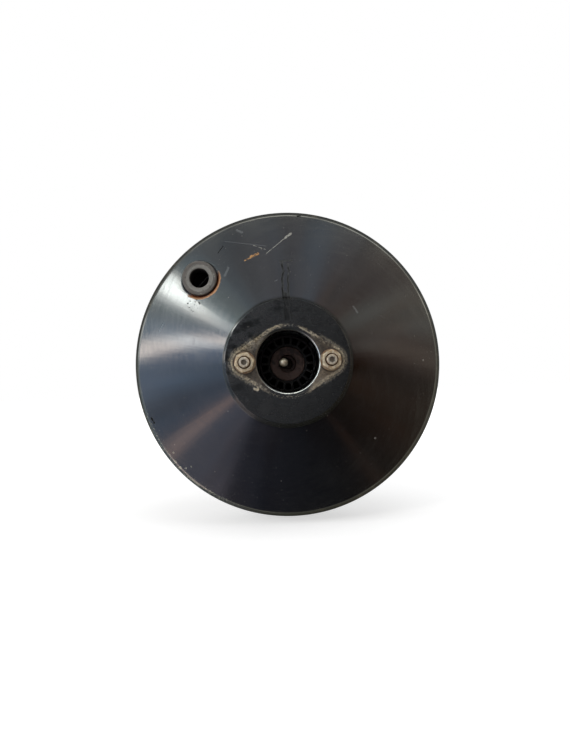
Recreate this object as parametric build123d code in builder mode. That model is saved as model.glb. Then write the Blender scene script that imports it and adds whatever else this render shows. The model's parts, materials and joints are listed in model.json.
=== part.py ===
from build123d import *
from math import cos, radians, sin
import os

# Vacuum brake booster with a single nine inch diaphragm, for a passenger car.
#
# Frame: millimetres, +Z up, the booster's axis along Y. The origin is the centre of the
# face that bolts to the firewall. The master cylinder's side faces -Y, the pedal's side +Y.
# A station is a distance forward of the firewall face, so a station s lies at Y = -s.
# Profiles are drawn as (radius, station) and turned about the axis.
#
# Bodies: the shell group stands still, the power piston slides in it, the valve plunger
# slides in the power piston, the input rod tilts in the plunger and the output rod swings
# in the power piston.

# ---------------------------------------------------------------- driving dimensions

# Pressed shells
shell_gauge = 1.6
front_wall_r = 123.0            # outside of the front shell's side wall
skirt_step = 5.0                # from the side wall out to the skirt that is crimped
front_wall_length = 32.0        # from the diaphragm step to the shoulder
shoulder_bend = 2.6
cone_rise = 23.0                # from the shoulder to the foot of the hub
hub_top_r = 45.0
hub_flare = 4.3                 # how much wider the hub's foot is than its top
hub_edge_bend = 2.4
hub_height = 21.0
bore_r = 22.5                   # pilot bore for the master cylinder
bore_lip_bend = 1.4
collar_depth = 10.0             # how far the rolled collar reaches in from the hub's face
rear_wall_inset = 5.0           # the rear shell's side wall is this much smaller
rear_shell_depth = 42.0         # from the firewall face to the shells' joint
rear_cone_rise = 24.0
rear_cone_bend = 3.0
firewall_face_r = 62.0
neck_length = 24.0
crimp_count = 12
crimp_width = 20.0
crimp_reach = 5.0               # how far a crimp tab folds in over the rear flange
flange_clearance = 0.2

# Clearances that several fits share
running_clearance = 0.05        # a sliding or turning fit, on the radius
hole_clearance = 0.1            # a bolt or stud in its hole, on the radius
loose_clearance = 0.3           # between pieces that only have to miss each other

# Master cylinder studs, M8
stud_r = 4.0
stud_chamfer = 0.8
stud_shoulder_r = 4.6           # the plain shoulder that fills the sheet's hole
front_stud_spacing = 62.0
front_stud_length = 11.0        # beyond the hub's face
stud_socket_af = 4.0
stud_socket_depth = 3.0
nut_af = 13.0
nut_height = 8.0
nut_flange_r = 7.9
nut_flange_height = 1.5
nut_chamfer = 1.0
front_plate_gauge = 2.5
front_plate_inset = 5.5         # from the hub's top edge in to the plate's edge
front_plate_bore_r = 25.6
spring_seat_gauge = 1.5
spring_seat_inset = 2.6         # from the hub's top edge in to the seat's wall
spring_seat_lip = 6.0

# Firewall studs, M8
rear_stud_spacing_x = 80.0
rear_stud_spacing_z = 60.0
rear_stud_length = 25.0         # behind the firewall face
rear_plate_gauge = 2.0
rear_plate_r = 60.0
rear_plate_bore_r = 28.5

# Vacuum port and its rubber grommet
port_inset = 27.3               # from the front wall in to the port's centre
port_angle = 134.3              # from +X towards +Z
port_seat_station = 83.4        # the flat floor of the dimple in the cone
port_dimple_r = 15.0
grommet_r = 13.4
grommet_stand = 10.9            # above the dimple's floor
grommet_bore_r = 7.5
grommet_neck_r = 10.5
grommet_edge = 1.2
grommet_tail_r = 12.4
grommet_tail_length = 5.0

# Diaphragm and its plate
diaphragm_thickness = 2.0
diaphragm_bead_height = 4.4
diaphragm_bead_inset = 1.0      # from the rear wall out to the bead
diaphragm_lobe_rise = 6.0
plate_gauge = 1.2
plate_rim_inset = 14.0          # from the rear wall in to the plate's rim
plate_rim_depth = 17.0
plate_cone_rise = 17.0
plate_cone_run = 38.0           # across the plate's cone, from its foot to the rim
lock_ring_r = 30.0
lock_ring_height = 2.0

# Valve body
tail_r = 20.0
tail_bore_r = 16.0
tail_length = 68.0              # behind the firewall face, at rest
body_stop_gap = 0.4
body_lip_r = 31.0
body_lip_height = 2.0
bead_groove_r = 27.5
bead_groove_height = 4.0
body_flange_r = 44.0
body_flange_height = 4.0
body_hub_r = 23.0
body_hub_length = 62.0          # in front of the flange
pocket_count = 18
pocket_inner_r = 16.0
pocket_outer_r = 21.0
pocket_rib = 1.5
pocket_floor = 6.0              # plastic left between the pockets and the flange
reaction_pocket_r = 14.0
reaction_pocket_depth = 20.0
vacuum_seat_r = 12.0            # bore of the annular vacuum seat
vacuum_seat_width = 1.5
vacuum_seat_height = 2.0
passage_width = 8.0

# Valve plunger and stop key
plunger_r = 9.45
plunger_nose_r = 5.9
plunger_travel = 2.0
jump_in_gap = 0.8
plunger_rear = -6.0
plunger_guide_front = 23.7
plunger_bore_r = 5.4
key_gauge = 2.5
key_width = 22.0
key_reach = 26.0                # from the axis to the key's outer end
key_groove_r = 7.8
key_gap = 0.6                   # from the valve body's lip back to the key
chamber_front = 8.0             # front of the air chamber round the plunger

# Poppet valve and the springs behind it
poppet_gap = 0.3                # air gap that the plunger leaves at rest
vacuum_gap = 1.5                # open vacuum port at rest
poppet_bore_r = 6.6
poppet_face_r = 13.4
poppet_face_thickness = 2.6
poppet_wall = 1.2
poppet_length = 17.7
poppet_bead_height = 2.0
retainer_gauge = 1.5
retainer_bore_r = 8.2
retainer_sleeve = 8.0
poppet_wire = 1.0
poppet_spring_r = 9.6
rod_wire = 1.8
rod_spring_r = 9.8
rod_spring_length = 24.0
rod_seat_r = 11.8
rod_seat_gauge = 1.5

# Return spring
return_wire = 3.6
return_spring_inset = 5.4       # from the seat's wall in to the middle of the wire
return_turns = 4

# Reaction disc, its piston and the output rod
reaction_disc_thickness = 6.0
reaction_piston_length = 13.5
rod_hole_r = 6.8
rod_hole_depth = 9.0
output_rod_r = 4.5
output_tip_r = 3.2
output_taper = 6.0
output_stand = 34.5             # from the piston's front face to the rod's tip
output_foot_r = 2.0
output_foot_taper = 2.5
output_foot_gap = 0.2
output_lean = 4.6               # degrees that the free rod hangs to -X

# Input rod, lock nut and clevis
input_ball_station = 14.0
input_ball_r = 5.9
input_neck_r = 4.0
input_neck_length = 34.0
input_rod_r = 5.0
input_rod_end = 113.0           # behind the firewall face
lock_nut_af = 17.0
lock_nut_height = 6.0
clevis_station = 102.0          # front face of the clevis, behind the firewall face
clevis_eye_station = 125.0
clevis_eye_r = 5.0
clevis_nose_r = 9.5
clevis_width = 22.0
clevis_gap = 11.0
clevis_height = 19.0
clevis_root = 12.0

# Seal pack in the neck, filter and boot
bush_wall = 3.35
bush_length = 9.0
seal_length = 9.0
seal_land = 2.0
seal_relief = 0.8
seal_retainer_gauge = 1.4
seal_retainer_gap = 1.0         # round the tail
filter_retainer_gauge = 2.0
filter_retainer_bore_r = 10.5
filter_length = 12.0
filter_bore_r = 5.3
boot_wall = 1.4
boot_cuff_start = 4.0
boot_cuff_length = 8.0
boot_folds = 4
boot_end_taper = 3.0            # from the last fold's valley to the tail's cuff
boot_fold_depth = 6.0
boot_valley_r = 28.0
boot_tail_cuff = 7.0
boot_mouth_r = 12.0

# ---------------------------------------------------------------- derived sizes and stations

joint = rear_shell_depth
step_inside = joint + diaphragm_bead_height
step_outside = step_inside + shell_gauge
shoulder = step_outside + front_wall_length
hub_foot = shoulder + cone_rise
hub_face = hub_foot + hub_height
collar_end = hub_face - collar_depth
hub_inside = hub_face - shell_gauge
hub_foot_r = hub_top_r + hub_flare
front_plate_r = hub_top_r - front_plate_inset
spring_seat_r = hub_top_r - spring_seat_inset
return_spring_r = spring_seat_r - return_spring_inset
front_plate_back = hub_inside - front_plate_gauge
spring_seat_back = front_plate_back - spring_seat_gauge

skirt_r = front_wall_r + skirt_step
skirt_inner_r = skirt_r - shell_gauge
rear_flange_back = joint - shell_gauge
skirt_end = rear_flange_back - shell_gauge
rear_flange_r = skirt_inner_r - flange_clearance
rear_wall_r = front_wall_r - rear_wall_inset
port_r = front_wall_r - port_inset
port_centre = (port_r * cos(radians(port_angle)), port_r * sin(radians(port_angle)))

neck_inner_r = tail_r + running_clearance + bush_wall
neck_r = neck_inner_r + shell_gauge
neck_end = -neck_length

rear_plate_front = shell_gauge + rear_plate_gauge
body_lip_back = rear_plate_front + body_stop_gap
groove_back = body_lip_back + body_lip_height
flange_back = groove_back + bead_groove_height
flange_front = flange_back + body_flange_height
body_front = flange_front + body_hub_length
plate_front = flange_front + plate_gauge
plate_rim_back = flange_back + plate_cone_rise
plate_rim_r = rear_wall_r - plate_rim_inset
plate_channel_r = plate_rim_r - plate_cone_run
reaction_floor = body_front - reaction_pocket_depth
piston_back = reaction_floor + reaction_disc_thickness
piston_front = piston_back + reaction_piston_length
rod_pivot = piston_front - rod_hole_depth + output_foot_gap + output_foot_taper
output_tip = piston_front + output_stand

key_front = body_lip_back - key_gap + key_gauge
key_back = key_front - key_gauge
poppet_face = plunger_rear - poppet_gap
vacuum_seat = poppet_face + vacuum_gap
bore_floor = vacuum_seat + vacuum_seat_height
retainer_front = poppet_face - poppet_length
retainer_back = retainer_front - retainer_gauge
rod_seat_front = retainer_back - rod_spring_length

tail_end = -tail_length
filter_back = tail_end + filter_retainer_gauge
filter_front = filter_back + filter_length

# ---------------------------------------------------------------- construction helpers

SECTION = Plane(origin=(0, 0, 0), x_dir=(1, 0, 0), z_dir=(0, 0, -1))


def face_at(station):
    """The plane across the axis at a station, facing forward, with X right and Z up."""
    return Plane.XZ.offset(station)


def section(*points):
    """A closed outline of (radius, station) points."""
    with BuildSketch(SECTION) as outline:
        with BuildLine():
            Polyline(*points, close=True)
        make_face()
    return outline.sketch


def ring(inner_r, outer_r, back, front):
    """The section of a plain ring between two stations."""
    return section((inner_r, back), (outer_r, back), (outer_r, front), (inner_r, front))


def sheet(*points, gauge, bends=()):
    """The section of a pressed sheet, from its outer skin's corners and its gauge.

    The other skin lies one gauge to the right of the line through the corners. A bend names
    a corner and the length of the flat that cuts it, the same on both skins.
    """
    skin = [Vector(point) for point in points]
    steps = [(end - start).normalized() for start, end in zip(skin, skin[1:])]
    sides = [Vector(step.Y, -step.X) for step in steps]
    inner = [skin[0] + sides[0] * gauge]
    for corner, before, after in zip(skin[1:], sides, sides[1:]):
        inner.append(corner + (before + after) * (gauge / (1 + before.dot(after))))
    inner.append(skin[-1] + sides[-1] * gauge)
    with BuildSketch(SECTION) as outline:
        with BuildLine():
            Polyline(*skin, *reversed(inner), close=True)
        make_face()
        for corner, flat in bends:
            chamfer(outline.vertices().sort_by_distance(corner)[:2], flat)
    return outline.sketch


def coil(mean_r, wire, back, front, turns):
    """A coil spring of four-sided wire that stands between two stations."""
    start = back + wire / 2 + hole_clearance
    rise = front - wire / 2 - hole_clearance - start
    with BuildPart() as spring:
        with BuildLine() as centre:
            path = Helix(rise / turns, rise, mean_r, (0, -start, 0), (0, -1, 0))
        with BuildSketch(Plane(origin=path @ 0, x_dir=(1, 0, 0), z_dir=path % 0)):
            RegularPolygon(wire / 2, 4)
        sweep(path=centre.line)
    return spring.part


def save(part, name):
    """Write one finished piece to its STEP file."""
    part.label = name
    export_step(part, f"parts/{name}.step")


os.makedirs("parts", exist_ok=True)

# ---------------------------------------------------------------- front shell
# A deep pressing: rolled bore collar, hub, shallow cone, shoulder, side wall, a step that
# holds the diaphragm's bead, and a skirt whose crimp tabs fold in behind the rear shell.

under_the_cone = section(
    (0, 0), (front_wall_r, 0), (front_wall_r, shoulder), (hub_foot_r, hub_foot), (0, hub_foot)
)

# The dimple is pressed into the cone, so the grommet has a flat seat.
with BuildPart() as dimple:
    with BuildSketch(face_at(port_seat_station - shell_gauge)):
        with Locations(port_centre):
            Circle(port_dimple_r + shell_gauge)
    extrude(amount=cone_rise)
    revolve(under_the_cone, axis=Axis.Y, mode=Mode.INTERSECT)

with BuildPart() as front_shell:
    revolve(
        sheet(
            (bore_r, collar_end),
            (bore_r, hub_face),
            (hub_top_r, hub_face),
            (hub_foot_r, hub_foot),
            (front_wall_r, shoulder),
            (front_wall_r, step_outside),
            (skirt_r, step_outside),
            (skirt_r, skirt_end),
            bends=[
                ((bore_r, hub_face), bore_lip_bend),
                ((hub_top_r, hub_face), hub_edge_bend),
                ((front_wall_r, shoulder), shoulder_bend),
            ],
            gauge=shell_gauge,
        ),
        axis=Axis.Y,
    )
    with BuildSketch(face_at(shoulder - cone_rise)):
        with Locations(port_centre):
            Circle(port_dimple_r + shell_gauge)
    extrude(amount=2 * cone_rise, mode=Mode.SUBTRACT)
    add(dimple.part)
    with BuildSketch(face_at(port_seat_station)):
        with Locations(port_centre):
            Circle(port_dimple_r)
    extrude(amount=cone_rise, mode=Mode.SUBTRACT)
    with BuildSketch(face_at(port_seat_station)):
        with Locations(port_centre):
            Circle(grommet_neck_r + hole_clearance)
    extrude(amount=-shell_gauge, mode=Mode.SUBTRACT)
    with BuildSketch(face_at(hub_face)):
        with GridLocations(front_stud_spacing, 0, 2, 1):
            Circle(stud_shoulder_r + hole_clearance)
    extrude(amount=-shell_gauge, mode=Mode.SUBTRACT)
    with BuildSketch(face_at(skirt_end)):
        with PolarLocations(rear_flange_r - crimp_reach / 2, crimp_count):
            Rectangle(crimp_reach + flange_clearance + shell_gauge, crimp_width)
    extrude(amount=shell_gauge)
save(front_shell.part, "front_shell")

# ---------------------------------------------------------------- rear shell
# A dished cover: rim flange, side wall, cone, the flat face that bolts to the firewall,
# and the neck that carries the seal pack.

with BuildPart() as rear_shell:
    revolve(
        sheet(
            (rear_flange_r, rear_flange_back),
            (rear_wall_r, rear_flange_back),
            (rear_wall_r, rear_cone_rise),
            (firewall_face_r, 0),
            (neck_r, 0),
            (neck_r, neck_end),
            bends=[((rear_wall_r, rear_cone_rise), rear_cone_bend)],
            gauge=shell_gauge,
        ),
        axis=Axis.Y,
    )
    with BuildSketch(face_at(0)):
        with GridLocations(rear_stud_spacing_x, rear_stud_spacing_z, 2, 2):
            Circle(stud_shoulder_r + hole_clearance)
    extrude(amount=shell_gauge, mode=Mode.SUBTRACT)
save(rear_shell.part, "rear_shell")

# ---------------------------------------------------------------- front studs and hub stiffening
# The studs are welded to the reinforcing plate and stand through the hub's face.

with BuildPart() as master_cylinder_studs:
    with BuildSketch(face_at(hub_inside)):
        with GridLocations(front_stud_spacing, 0, 2, 1):
            Circle(stud_shoulder_r)
    extrude(amount=shell_gauge)
    with BuildSketch(face_at(hub_face)):
        with GridLocations(front_stud_spacing, 0, 2, 1):
            Circle(stud_r)
    extrude(amount=front_stud_length)
    ends = master_cylinder_studs.faces().group_by(Axis.Y)[0]
    chamfer(ends.edges(), stud_chamfer)
    with BuildSketch(face_at(hub_face + front_stud_length)):
        with GridLocations(front_stud_spacing, 0, 2, 1):
            RegularPolygon(stud_socket_af / 2, 6, major_radius=False)
    extrude(amount=-stud_socket_depth, mode=Mode.SUBTRACT)
save(master_cylinder_studs.part, "master_cylinder_studs")

# One hexagon flange nut with a coned top, then its mirror image on the other stud.
with BuildPart() as master_cylinder_nuts:
    nut_x = front_stud_spacing / 2
    nut_centre = (nut_x, 0)
    nut_top = hub_face + nut_height
    nut_cone = section(
        (nut_x, hub_face),
        (nut_x + nut_flange_r, hub_face),
        (nut_x + nut_flange_r, nut_top - 2 * nut_chamfer),
        (nut_x + nut_af / 2, nut_top),
        (nut_x, nut_top),
    )
    with BuildSketch(face_at(hub_face)):
        with Locations(nut_centre):
            RegularPolygon(nut_af / 2, 6, major_radius=False)
    extrude(amount=nut_height)
    revolve(nut_cone, axis=Axis((nut_x, 0, 0), (0, -1, 0)), mode=Mode.INTERSECT)
    with BuildSketch(face_at(hub_face)):
        with Locations(nut_centre):
            Circle(nut_flange_r)
    extrude(amount=nut_flange_height)
    with BuildSketch(face_at(hub_face)):
        with Locations(nut_centre):
            Circle(stud_r + running_clearance)
    extrude(amount=nut_height, mode=Mode.SUBTRACT)
    mirror(about=Plane.YZ)
save(master_cylinder_nuts.part, "master_cylinder_nuts")

with BuildPart() as front_reinforcing_plate:
    revolve(ring(front_plate_bore_r, front_plate_r, front_plate_back, hub_inside), axis=Axis.Y)
save(front_reinforcing_plate.part, "front_reinforcing_plate")

with BuildPart() as front_spring_seat:
    revolve(
        sheet(
            (front_plate_bore_r, front_plate_back),
            (spring_seat_r, front_plate_back),
            (spring_seat_r, spring_seat_back - spring_seat_lip),
            gauge=spring_seat_gauge,
        ),
        axis=Axis.Y,
    )
save(front_spring_seat.part, "front_spring_seat")

# ---------------------------------------------------------------- firewall studs and their plate
# Four studs are welded to a plate inside the rear shell and stand through its flat face.

with BuildPart() as firewall_studs:
    with BuildSketch(face_at(0)):
        with GridLocations(rear_stud_spacing_x, rear_stud_spacing_z, 2, 2):
            Circle(stud_shoulder_r)
    extrude(amount=shell_gauge)
    with BuildSketch(face_at(0)):
        with GridLocations(rear_stud_spacing_x, rear_stud_spacing_z, 2, 2):
            Circle(stud_r)
    extrude(amount=-rear_stud_length)
save(firewall_studs.part, "firewall_studs")

with BuildPart() as rear_reinforcing_plate:
    revolve(ring(rear_plate_bore_r, rear_plate_r, shell_gauge, rear_plate_front), axis=Axis.Y)
save(rear_reinforcing_plate.part, "rear_reinforcing_plate")

# ---------------------------------------------------------------- vacuum grommet
# A thick rubber bush for the check valve: a tall head on the dimple's floor, a neck through
# the sheet and a tail lip behind it.

with BuildPart() as vacuum_grommet:
    with BuildSketch(face_at(port_seat_station)):
        with Locations(port_centre):
            Circle(grommet_r)
    extrude(amount=grommet_stand)
    with BuildSketch(face_at(port_seat_station - shell_gauge)):
        with Locations(port_centre):
            Circle(grommet_neck_r)
    extrude(amount=shell_gauge)
    with BuildSketch(face_at(port_seat_station - shell_gauge)):
        with Locations(port_centre):
            Circle(grommet_tail_r)
    extrude(amount=-grommet_tail_length)
    with BuildSketch(face_at(port_seat_station + grommet_stand)):
        with Locations(port_centre):
            Circle(grommet_bore_r)
    extrude(amount=-grommet_stand - shell_gauge - grommet_tail_length, mode=Mode.SUBTRACT)
    head = vacuum_grommet.faces().group_by(Axis.Y)[0]
    chamfer(head.edges(), grommet_edge)
save(vacuum_grommet.part, "vacuum_grommet")

# ---------------------------------------------------------------- diaphragm and its plate

plate_line = [
    (body_hub_r + hole_clearance, flange_front),
    (body_flange_r + plate_gauge, flange_front),
    (body_flange_r + plate_gauge + body_flange_height, flange_back),
    (plate_channel_r, flange_back),
    (plate_rim_r, plate_rim_back),
    (plate_rim_r, plate_rim_back + plate_rim_depth),
]

with BuildPart() as diaphragm_plate:
    revolve(sheet(*reversed(plate_line), gauge=plate_gauge), axis=Axis.Y)
save(diaphragm_plate.part, "diaphragm_plate")

with BuildPart() as plate_lock_ring:
    revolve(
        ring(body_hub_r + hole_clearance, lock_ring_r, plate_front, plate_front + lock_ring_height),
        axis=Axis.Y,
    )
save(plate_lock_ring.part, "plate_lock_ring")

# The membrane follows the plate's back, turns up outside its rim, rolls over in a lobe and
# ends in the bead that the two shells clamp.
membrane_r = plate_rim_r + loose_clearance
membrane_face = flange_back - loose_clearance
lobe_root = plate_rim_back + plate_rim_depth
bead_inner_r = rear_wall_r + diaphragm_bead_inset
bead_middle_r = bead_inner_r + diaphragm_thickness
with BuildPart() as diaphragm:
    revolve(
        sheet(
            (bead_groove_r + loose_clearance, membrane_face),
            (plate_channel_r, membrane_face),
            (membrane_r, plate_rim_back - loose_clearance),
            (membrane_r, lobe_root + loose_clearance),
            ((membrane_r + bead_middle_r) / 2, lobe_root + diaphragm_lobe_rise),
            (bead_middle_r, joint + diaphragm_bead_height / 2),
            gauge=diaphragm_thickness,
        ),
        axis=Axis.Y,
    )
    revolve(ring(bead_inner_r, skirt_inner_r, joint, step_inside), axis=Axis.Y)
save(diaphragm.part, "diaphragm")

# ---------------------------------------------------------------- return spring

return_spring = coil(return_spring_r, return_wire, plate_front, spring_seat_back, return_turns)
save(return_spring, "return_spring")

# ---------------------------------------------------------------- valve body
# A moulding: a tail that slides in the neck, a flange that carries the diaphragm's plate,
# and a long front hub with a ring of cored pockets round the reaction pocket.

nose_bore_r = plunger_nose_r + running_clearance
guide_bore_r = plunger_r + running_clearance
guide_bore_front = plunger_guide_front + plunger_travel + loose_clearance
seat_outer_r = vacuum_seat_r + vacuum_seat_width

with BuildPart() as valve_body:
    revolve(
        section(
            (tail_bore_r, tail_end),
            (tail_r, tail_end),
            (tail_r, body_lip_back),
            (body_lip_r, body_lip_back),
            (body_lip_r, groove_back),
            (bead_groove_r, groove_back),
            (bead_groove_r, flange_back),
            (body_flange_r, flange_back),
            (body_flange_r, flange_front),
            (body_hub_r, flange_front),
            (body_hub_r, body_front),
            (reaction_pocket_r, body_front),
            (reaction_pocket_r, reaction_floor),
            (nose_bore_r, reaction_floor),
            (nose_bore_r, guide_bore_front),
            (guide_bore_r, guide_bore_front),
            (guide_bore_r, chamber_front),
            (vacuum_seat_r, chamber_front),
            (vacuum_seat_r, vacuum_seat),
            (seat_outer_r, vacuum_seat),
            (seat_outer_r, bore_floor),
            (tail_bore_r, bore_floor),
        ),
        axis=Axis.Y,
    )
    # Cored pockets with radial ribs between them.
    with BuildSketch(face_at(body_front)):
        Circle(pocket_outer_r)
        Circle(pocket_inner_r, mode=Mode.SUBTRACT)
        with PolarLocations(body_hub_r, pocket_count):
            Rectangle(2 * body_hub_r, pocket_rib, mode=Mode.SUBTRACT)
    extrude(amount=flange_front + pocket_floor - body_front, mode=Mode.SUBTRACT)
    # Vacuum passage from the poppet's bore to the pockets, above the axis.
    with BuildSketch(face_at(bore_floor)):
        with Locations((0, (seat_outer_r + pocket_outer_r) / 2)):
            Rectangle(passage_width, pocket_outer_r - seat_outer_r - 2 * vacuum_seat_width)
    extrude(amount=flange_front + pocket_floor - bore_floor, mode=Mode.SUBTRACT)
    # Slot for the stop key, from below.
    slot_top = key_width / 2 + loose_clearance
    with BuildSketch(face_at(key_back - loose_clearance)):
        with Locations((0, (slot_top - body_lip_r) / 2)):
            Rectangle(2 * slot_top, slot_top + body_lip_r)
    extrude(amount=key_gauge + 2 * loose_clearance, mode=Mode.SUBTRACT)
save(valve_body.part, "valve_body")

# ---------------------------------------------------------------- valve plunger and stop key
# The plunger takes the input rod's ball in a socket. The key drops into its groove from
# below and limits its travel in the valve body.

groove_back_end = key_back - plunger_travel - loose_clearance
groove_front_end = key_front + hole_clearance
plunger_tip = reaction_floor - jump_in_gap
socket_r = input_ball_r + running_clearance
socket_back = input_ball_station - input_ball_r
socket_front = input_ball_station + socket_r

with BuildPart() as valve_plunger:
    revolve(
        section(
            (0, plunger_rear),
            (plunger_r, plunger_rear),
            (plunger_r, groove_back_end),
            (key_groove_r, groove_back_end),
            (key_groove_r, groove_front_end),
            (plunger_r, groove_front_end),
            (plunger_r, plunger_guide_front),
            (plunger_nose_r, plunger_guide_front),
            (plunger_nose_r, plunger_tip),
            (0, plunger_tip),
        ),
        axis=Axis.Y,
    )
    revolve(ring(0, plunger_bore_r, plunger_rear, socket_back), axis=Axis.Y, mode=Mode.SUBTRACT)
    revolve(ring(0, socket_r, socket_back, socket_front), axis=Axis.Y, mode=Mode.SUBTRACT)
save(valve_plunger.part, "valve_plunger")

with BuildPart() as stop_key:
    with BuildSketch(face_at(key_back)):
        with Locations((0, (key_width / 2 - key_reach) / 2)):
            Rectangle(key_width, key_width / 2 + key_reach)
        with Locations((0, key_width / 4)):
            Rectangle(2 * (key_groove_r + loose_clearance), key_width / 2, mode=Mode.SUBTRACT)
        Circle(key_groove_r + loose_clearance, mode=Mode.SUBTRACT)
    extrude(amount=key_gauge)
save(stop_key.part, "stop_key")

# ---------------------------------------------------------------- poppet valve and its springs

poppet_bore_wall = tail_bore_r - running_clearance
sleeve_r = poppet_face_r - poppet_wall

with BuildPart() as poppet_valve:
    revolve(
        section(
            (poppet_bore_r, poppet_face),
            (poppet_face_r, poppet_face),
            (poppet_face_r, retainer_front + poppet_bead_height),
            (poppet_bore_wall, retainer_front + poppet_bead_height),
            (poppet_bore_wall, retainer_front),
            (sleeve_r, retainer_front),
            (sleeve_r, poppet_face - poppet_face_thickness),
            (poppet_bore_r, poppet_face - poppet_face_thickness),
        ),
        axis=Axis.Y,
    )
save(poppet_valve.part, "poppet_valve")

with BuildPart() as poppet_retainer:
    revolve(
        section(
            (retainer_bore_r, retainer_back),
            (poppet_bore_wall, retainer_back),
            (poppet_bore_wall, retainer_front),
            (sleeve_r, retainer_front),
            (sleeve_r - poppet_wall, retainer_back + retainer_sleeve),
            (sleeve_r - poppet_wall, retainer_front),
            (retainer_bore_r, retainer_front),
        ),
        axis=Axis.Y,
    )
save(poppet_retainer.part, "poppet_retainer")

# The two small springs are enclosed, so each is kept as the sleeve that its coils fill.
poppet_back = poppet_face - poppet_face_thickness
with BuildPart() as poppet_spring:
    inner_r = poppet_spring_r - poppet_wire / 2
    revolve(ring(inner_r, inner_r + poppet_wire, retainer_front, poppet_back), axis=Axis.Y)
save(poppet_spring.part, "poppet_spring")

with BuildPart() as rod_return_spring:
    inner_r = rod_spring_r - rod_wire / 2
    revolve(ring(inner_r, inner_r + rod_wire, rod_seat_front, retainer_back), axis=Axis.Y)
save(rod_return_spring.part, "rod_return_spring")

with BuildPart() as rod_spring_seat:
    revolve(
        ring(input_rod_r, rod_seat_r, rod_seat_front - rod_seat_gauge, rod_seat_front),
        axis=Axis.Y,
    )
save(rod_spring_seat.part, "rod_spring_seat")

# ---------------------------------------------------------------- air filter pack in the tail

filter_wall = tail_bore_r - running_clearance

with BuildPart() as filter_retainer:
    revolve(ring(filter_retainer_bore_r, filter_wall, tail_end, filter_back), axis=Axis.Y)
save(filter_retainer.part, "filter_retainer")

with BuildPart() as air_filter:
    revolve(ring(filter_bore_r, filter_wall, filter_back, filter_front), axis=Axis.Y)
save(air_filter.part, "air_filter")

# ---------------------------------------------------------------- reaction disc and output rod

reaction_r = reaction_pocket_r - hole_clearance

with BuildPart() as reaction_disc:
    revolve(ring(0, reaction_r, reaction_floor, piston_back), axis=Axis.Y)
save(reaction_disc.part, "reaction_disc")

with BuildPart() as reaction_piston:
    revolve(ring(0, reaction_r, piston_back, piston_front), axis=Axis.Y)
    with BuildSketch(face_at(piston_front)):
        Circle(rod_hole_r)
    extrude(amount=-rod_hole_depth, mode=Mode.SUBTRACT)
save(reaction_piston.part, "reaction_piston")

# The free rod leans in its hole, so it is turned upright and then tilted about its foot.
tip_centre = output_tip - output_tip_r
foot_end = rod_pivot - output_foot_taper

with BuildPart() as output_rod:
    revolve(
        section(
            (0, foot_end),
            (output_foot_r, foot_end),
            (output_rod_r, rod_pivot),
            (output_rod_r, tip_centre - output_taper),
            (output_tip_r, tip_centre),
            (0, tip_centre),
        ),
        axis=Axis.Y,
    )
    with Locations((0, -tip_centre, 0)):
        Sphere(output_tip_r)
leaning_rod = output_rod.part.rotate(Axis((0, -rod_pivot, 0), (0, 0, 1)), -output_lean)
save(leaning_rod, "output_rod")

# ---------------------------------------------------------------- input rod, lock nut and clevis

rod_shoulder = input_ball_station - input_neck_length

with BuildPart() as input_rod:
    revolve(
        section(
            (0, -input_rod_end),
            (input_rod_r, -input_rod_end),
            (input_rod_r, rod_shoulder - input_rod_r),
            (input_neck_r, rod_shoulder),
            (input_neck_r, input_ball_station),
            (0, input_ball_station),
        ),
        axis=Axis.Y,
    )
    with Locations((0, -input_ball_station, 0)):
        Sphere(input_ball_r)
save(input_rod.part, "input_rod")

with BuildPart() as lock_nut:
    with BuildSketch(face_at(-clevis_station)):
        RegularPolygon(lock_nut_af / 2, 6, major_radius=False)
        Circle(input_rod_r + running_clearance, mode=Mode.SUBTRACT)
    extrude(amount=lock_nut_height)
save(lock_nut.part, "lock_nut")

# A forked clevis with its nose rounded about the eye.
with BuildPart() as clevis:
    with BuildSketch(Plane.YZ):
        with Locations(((clevis_station + clevis_eye_station) / 2, 0)):
            Rectangle(clevis_eye_station - clevis_station, clevis_height)
        with Locations((clevis_eye_station, 0)):
            Circle(clevis_nose_r)
            Circle(clevis_eye_r, mode=Mode.SUBTRACT)
    extrude(amount=clevis_width / 2, both=True)
    fork_root = clevis_station + clevis_root
    fork_end = clevis_eye_station + clevis_nose_r
    with BuildSketch(Plane.YZ):
        with Locations(((fork_root + fork_end) / 2, 0)):
            Rectangle(fork_end - fork_root, 2 * clevis_nose_r)
    extrude(amount=clevis_gap / 2, both=True, mode=Mode.SUBTRACT)
    with BuildSketch(face_at(-clevis_station)):
        Circle(input_rod_r + running_clearance)
    extrude(amount=-clevis_root, mode=Mode.SUBTRACT)
save(clevis.part, "clevis")

# ---------------------------------------------------------------- seal pack in the neck

seal_back = neck_end + seal_retainer_gauge
seal_front = seal_back + seal_length
bush_front = seal_front + bush_length
land_r = tail_r + running_clearance

with BuildPart() as seal_retainer:
    revolve(ring(tail_r + seal_retainer_gap, neck_inner_r, neck_end, seal_back), axis=Axis.Y)
save(seal_retainer.part, "seal_retainer")

with BuildPart() as rear_seal:
    revolve(
        section(
            (land_r, seal_back),
            (neck_inner_r, seal_back),
            (neck_inner_r, seal_front),
            (land_r + seal_relief, seal_front),
            (land_r, seal_back + seal_land),
        ),
        axis=Axis.Y,
    )
save(rear_seal.part, "rear_seal")

with BuildPart() as rear_guide_bush:
    revolve(ring(land_r, neck_inner_r, seal_front, bush_front), axis=Axis.Y)
save(rear_guide_bush.part, "rear_guide_bush")

# ---------------------------------------------------------------- dust boot
# A rubber bellows: a cuff on the neck, folds over the bare tail, a cuff on the tail's end
# and a closed end with a mouth that leaves the rod room to tilt.

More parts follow.
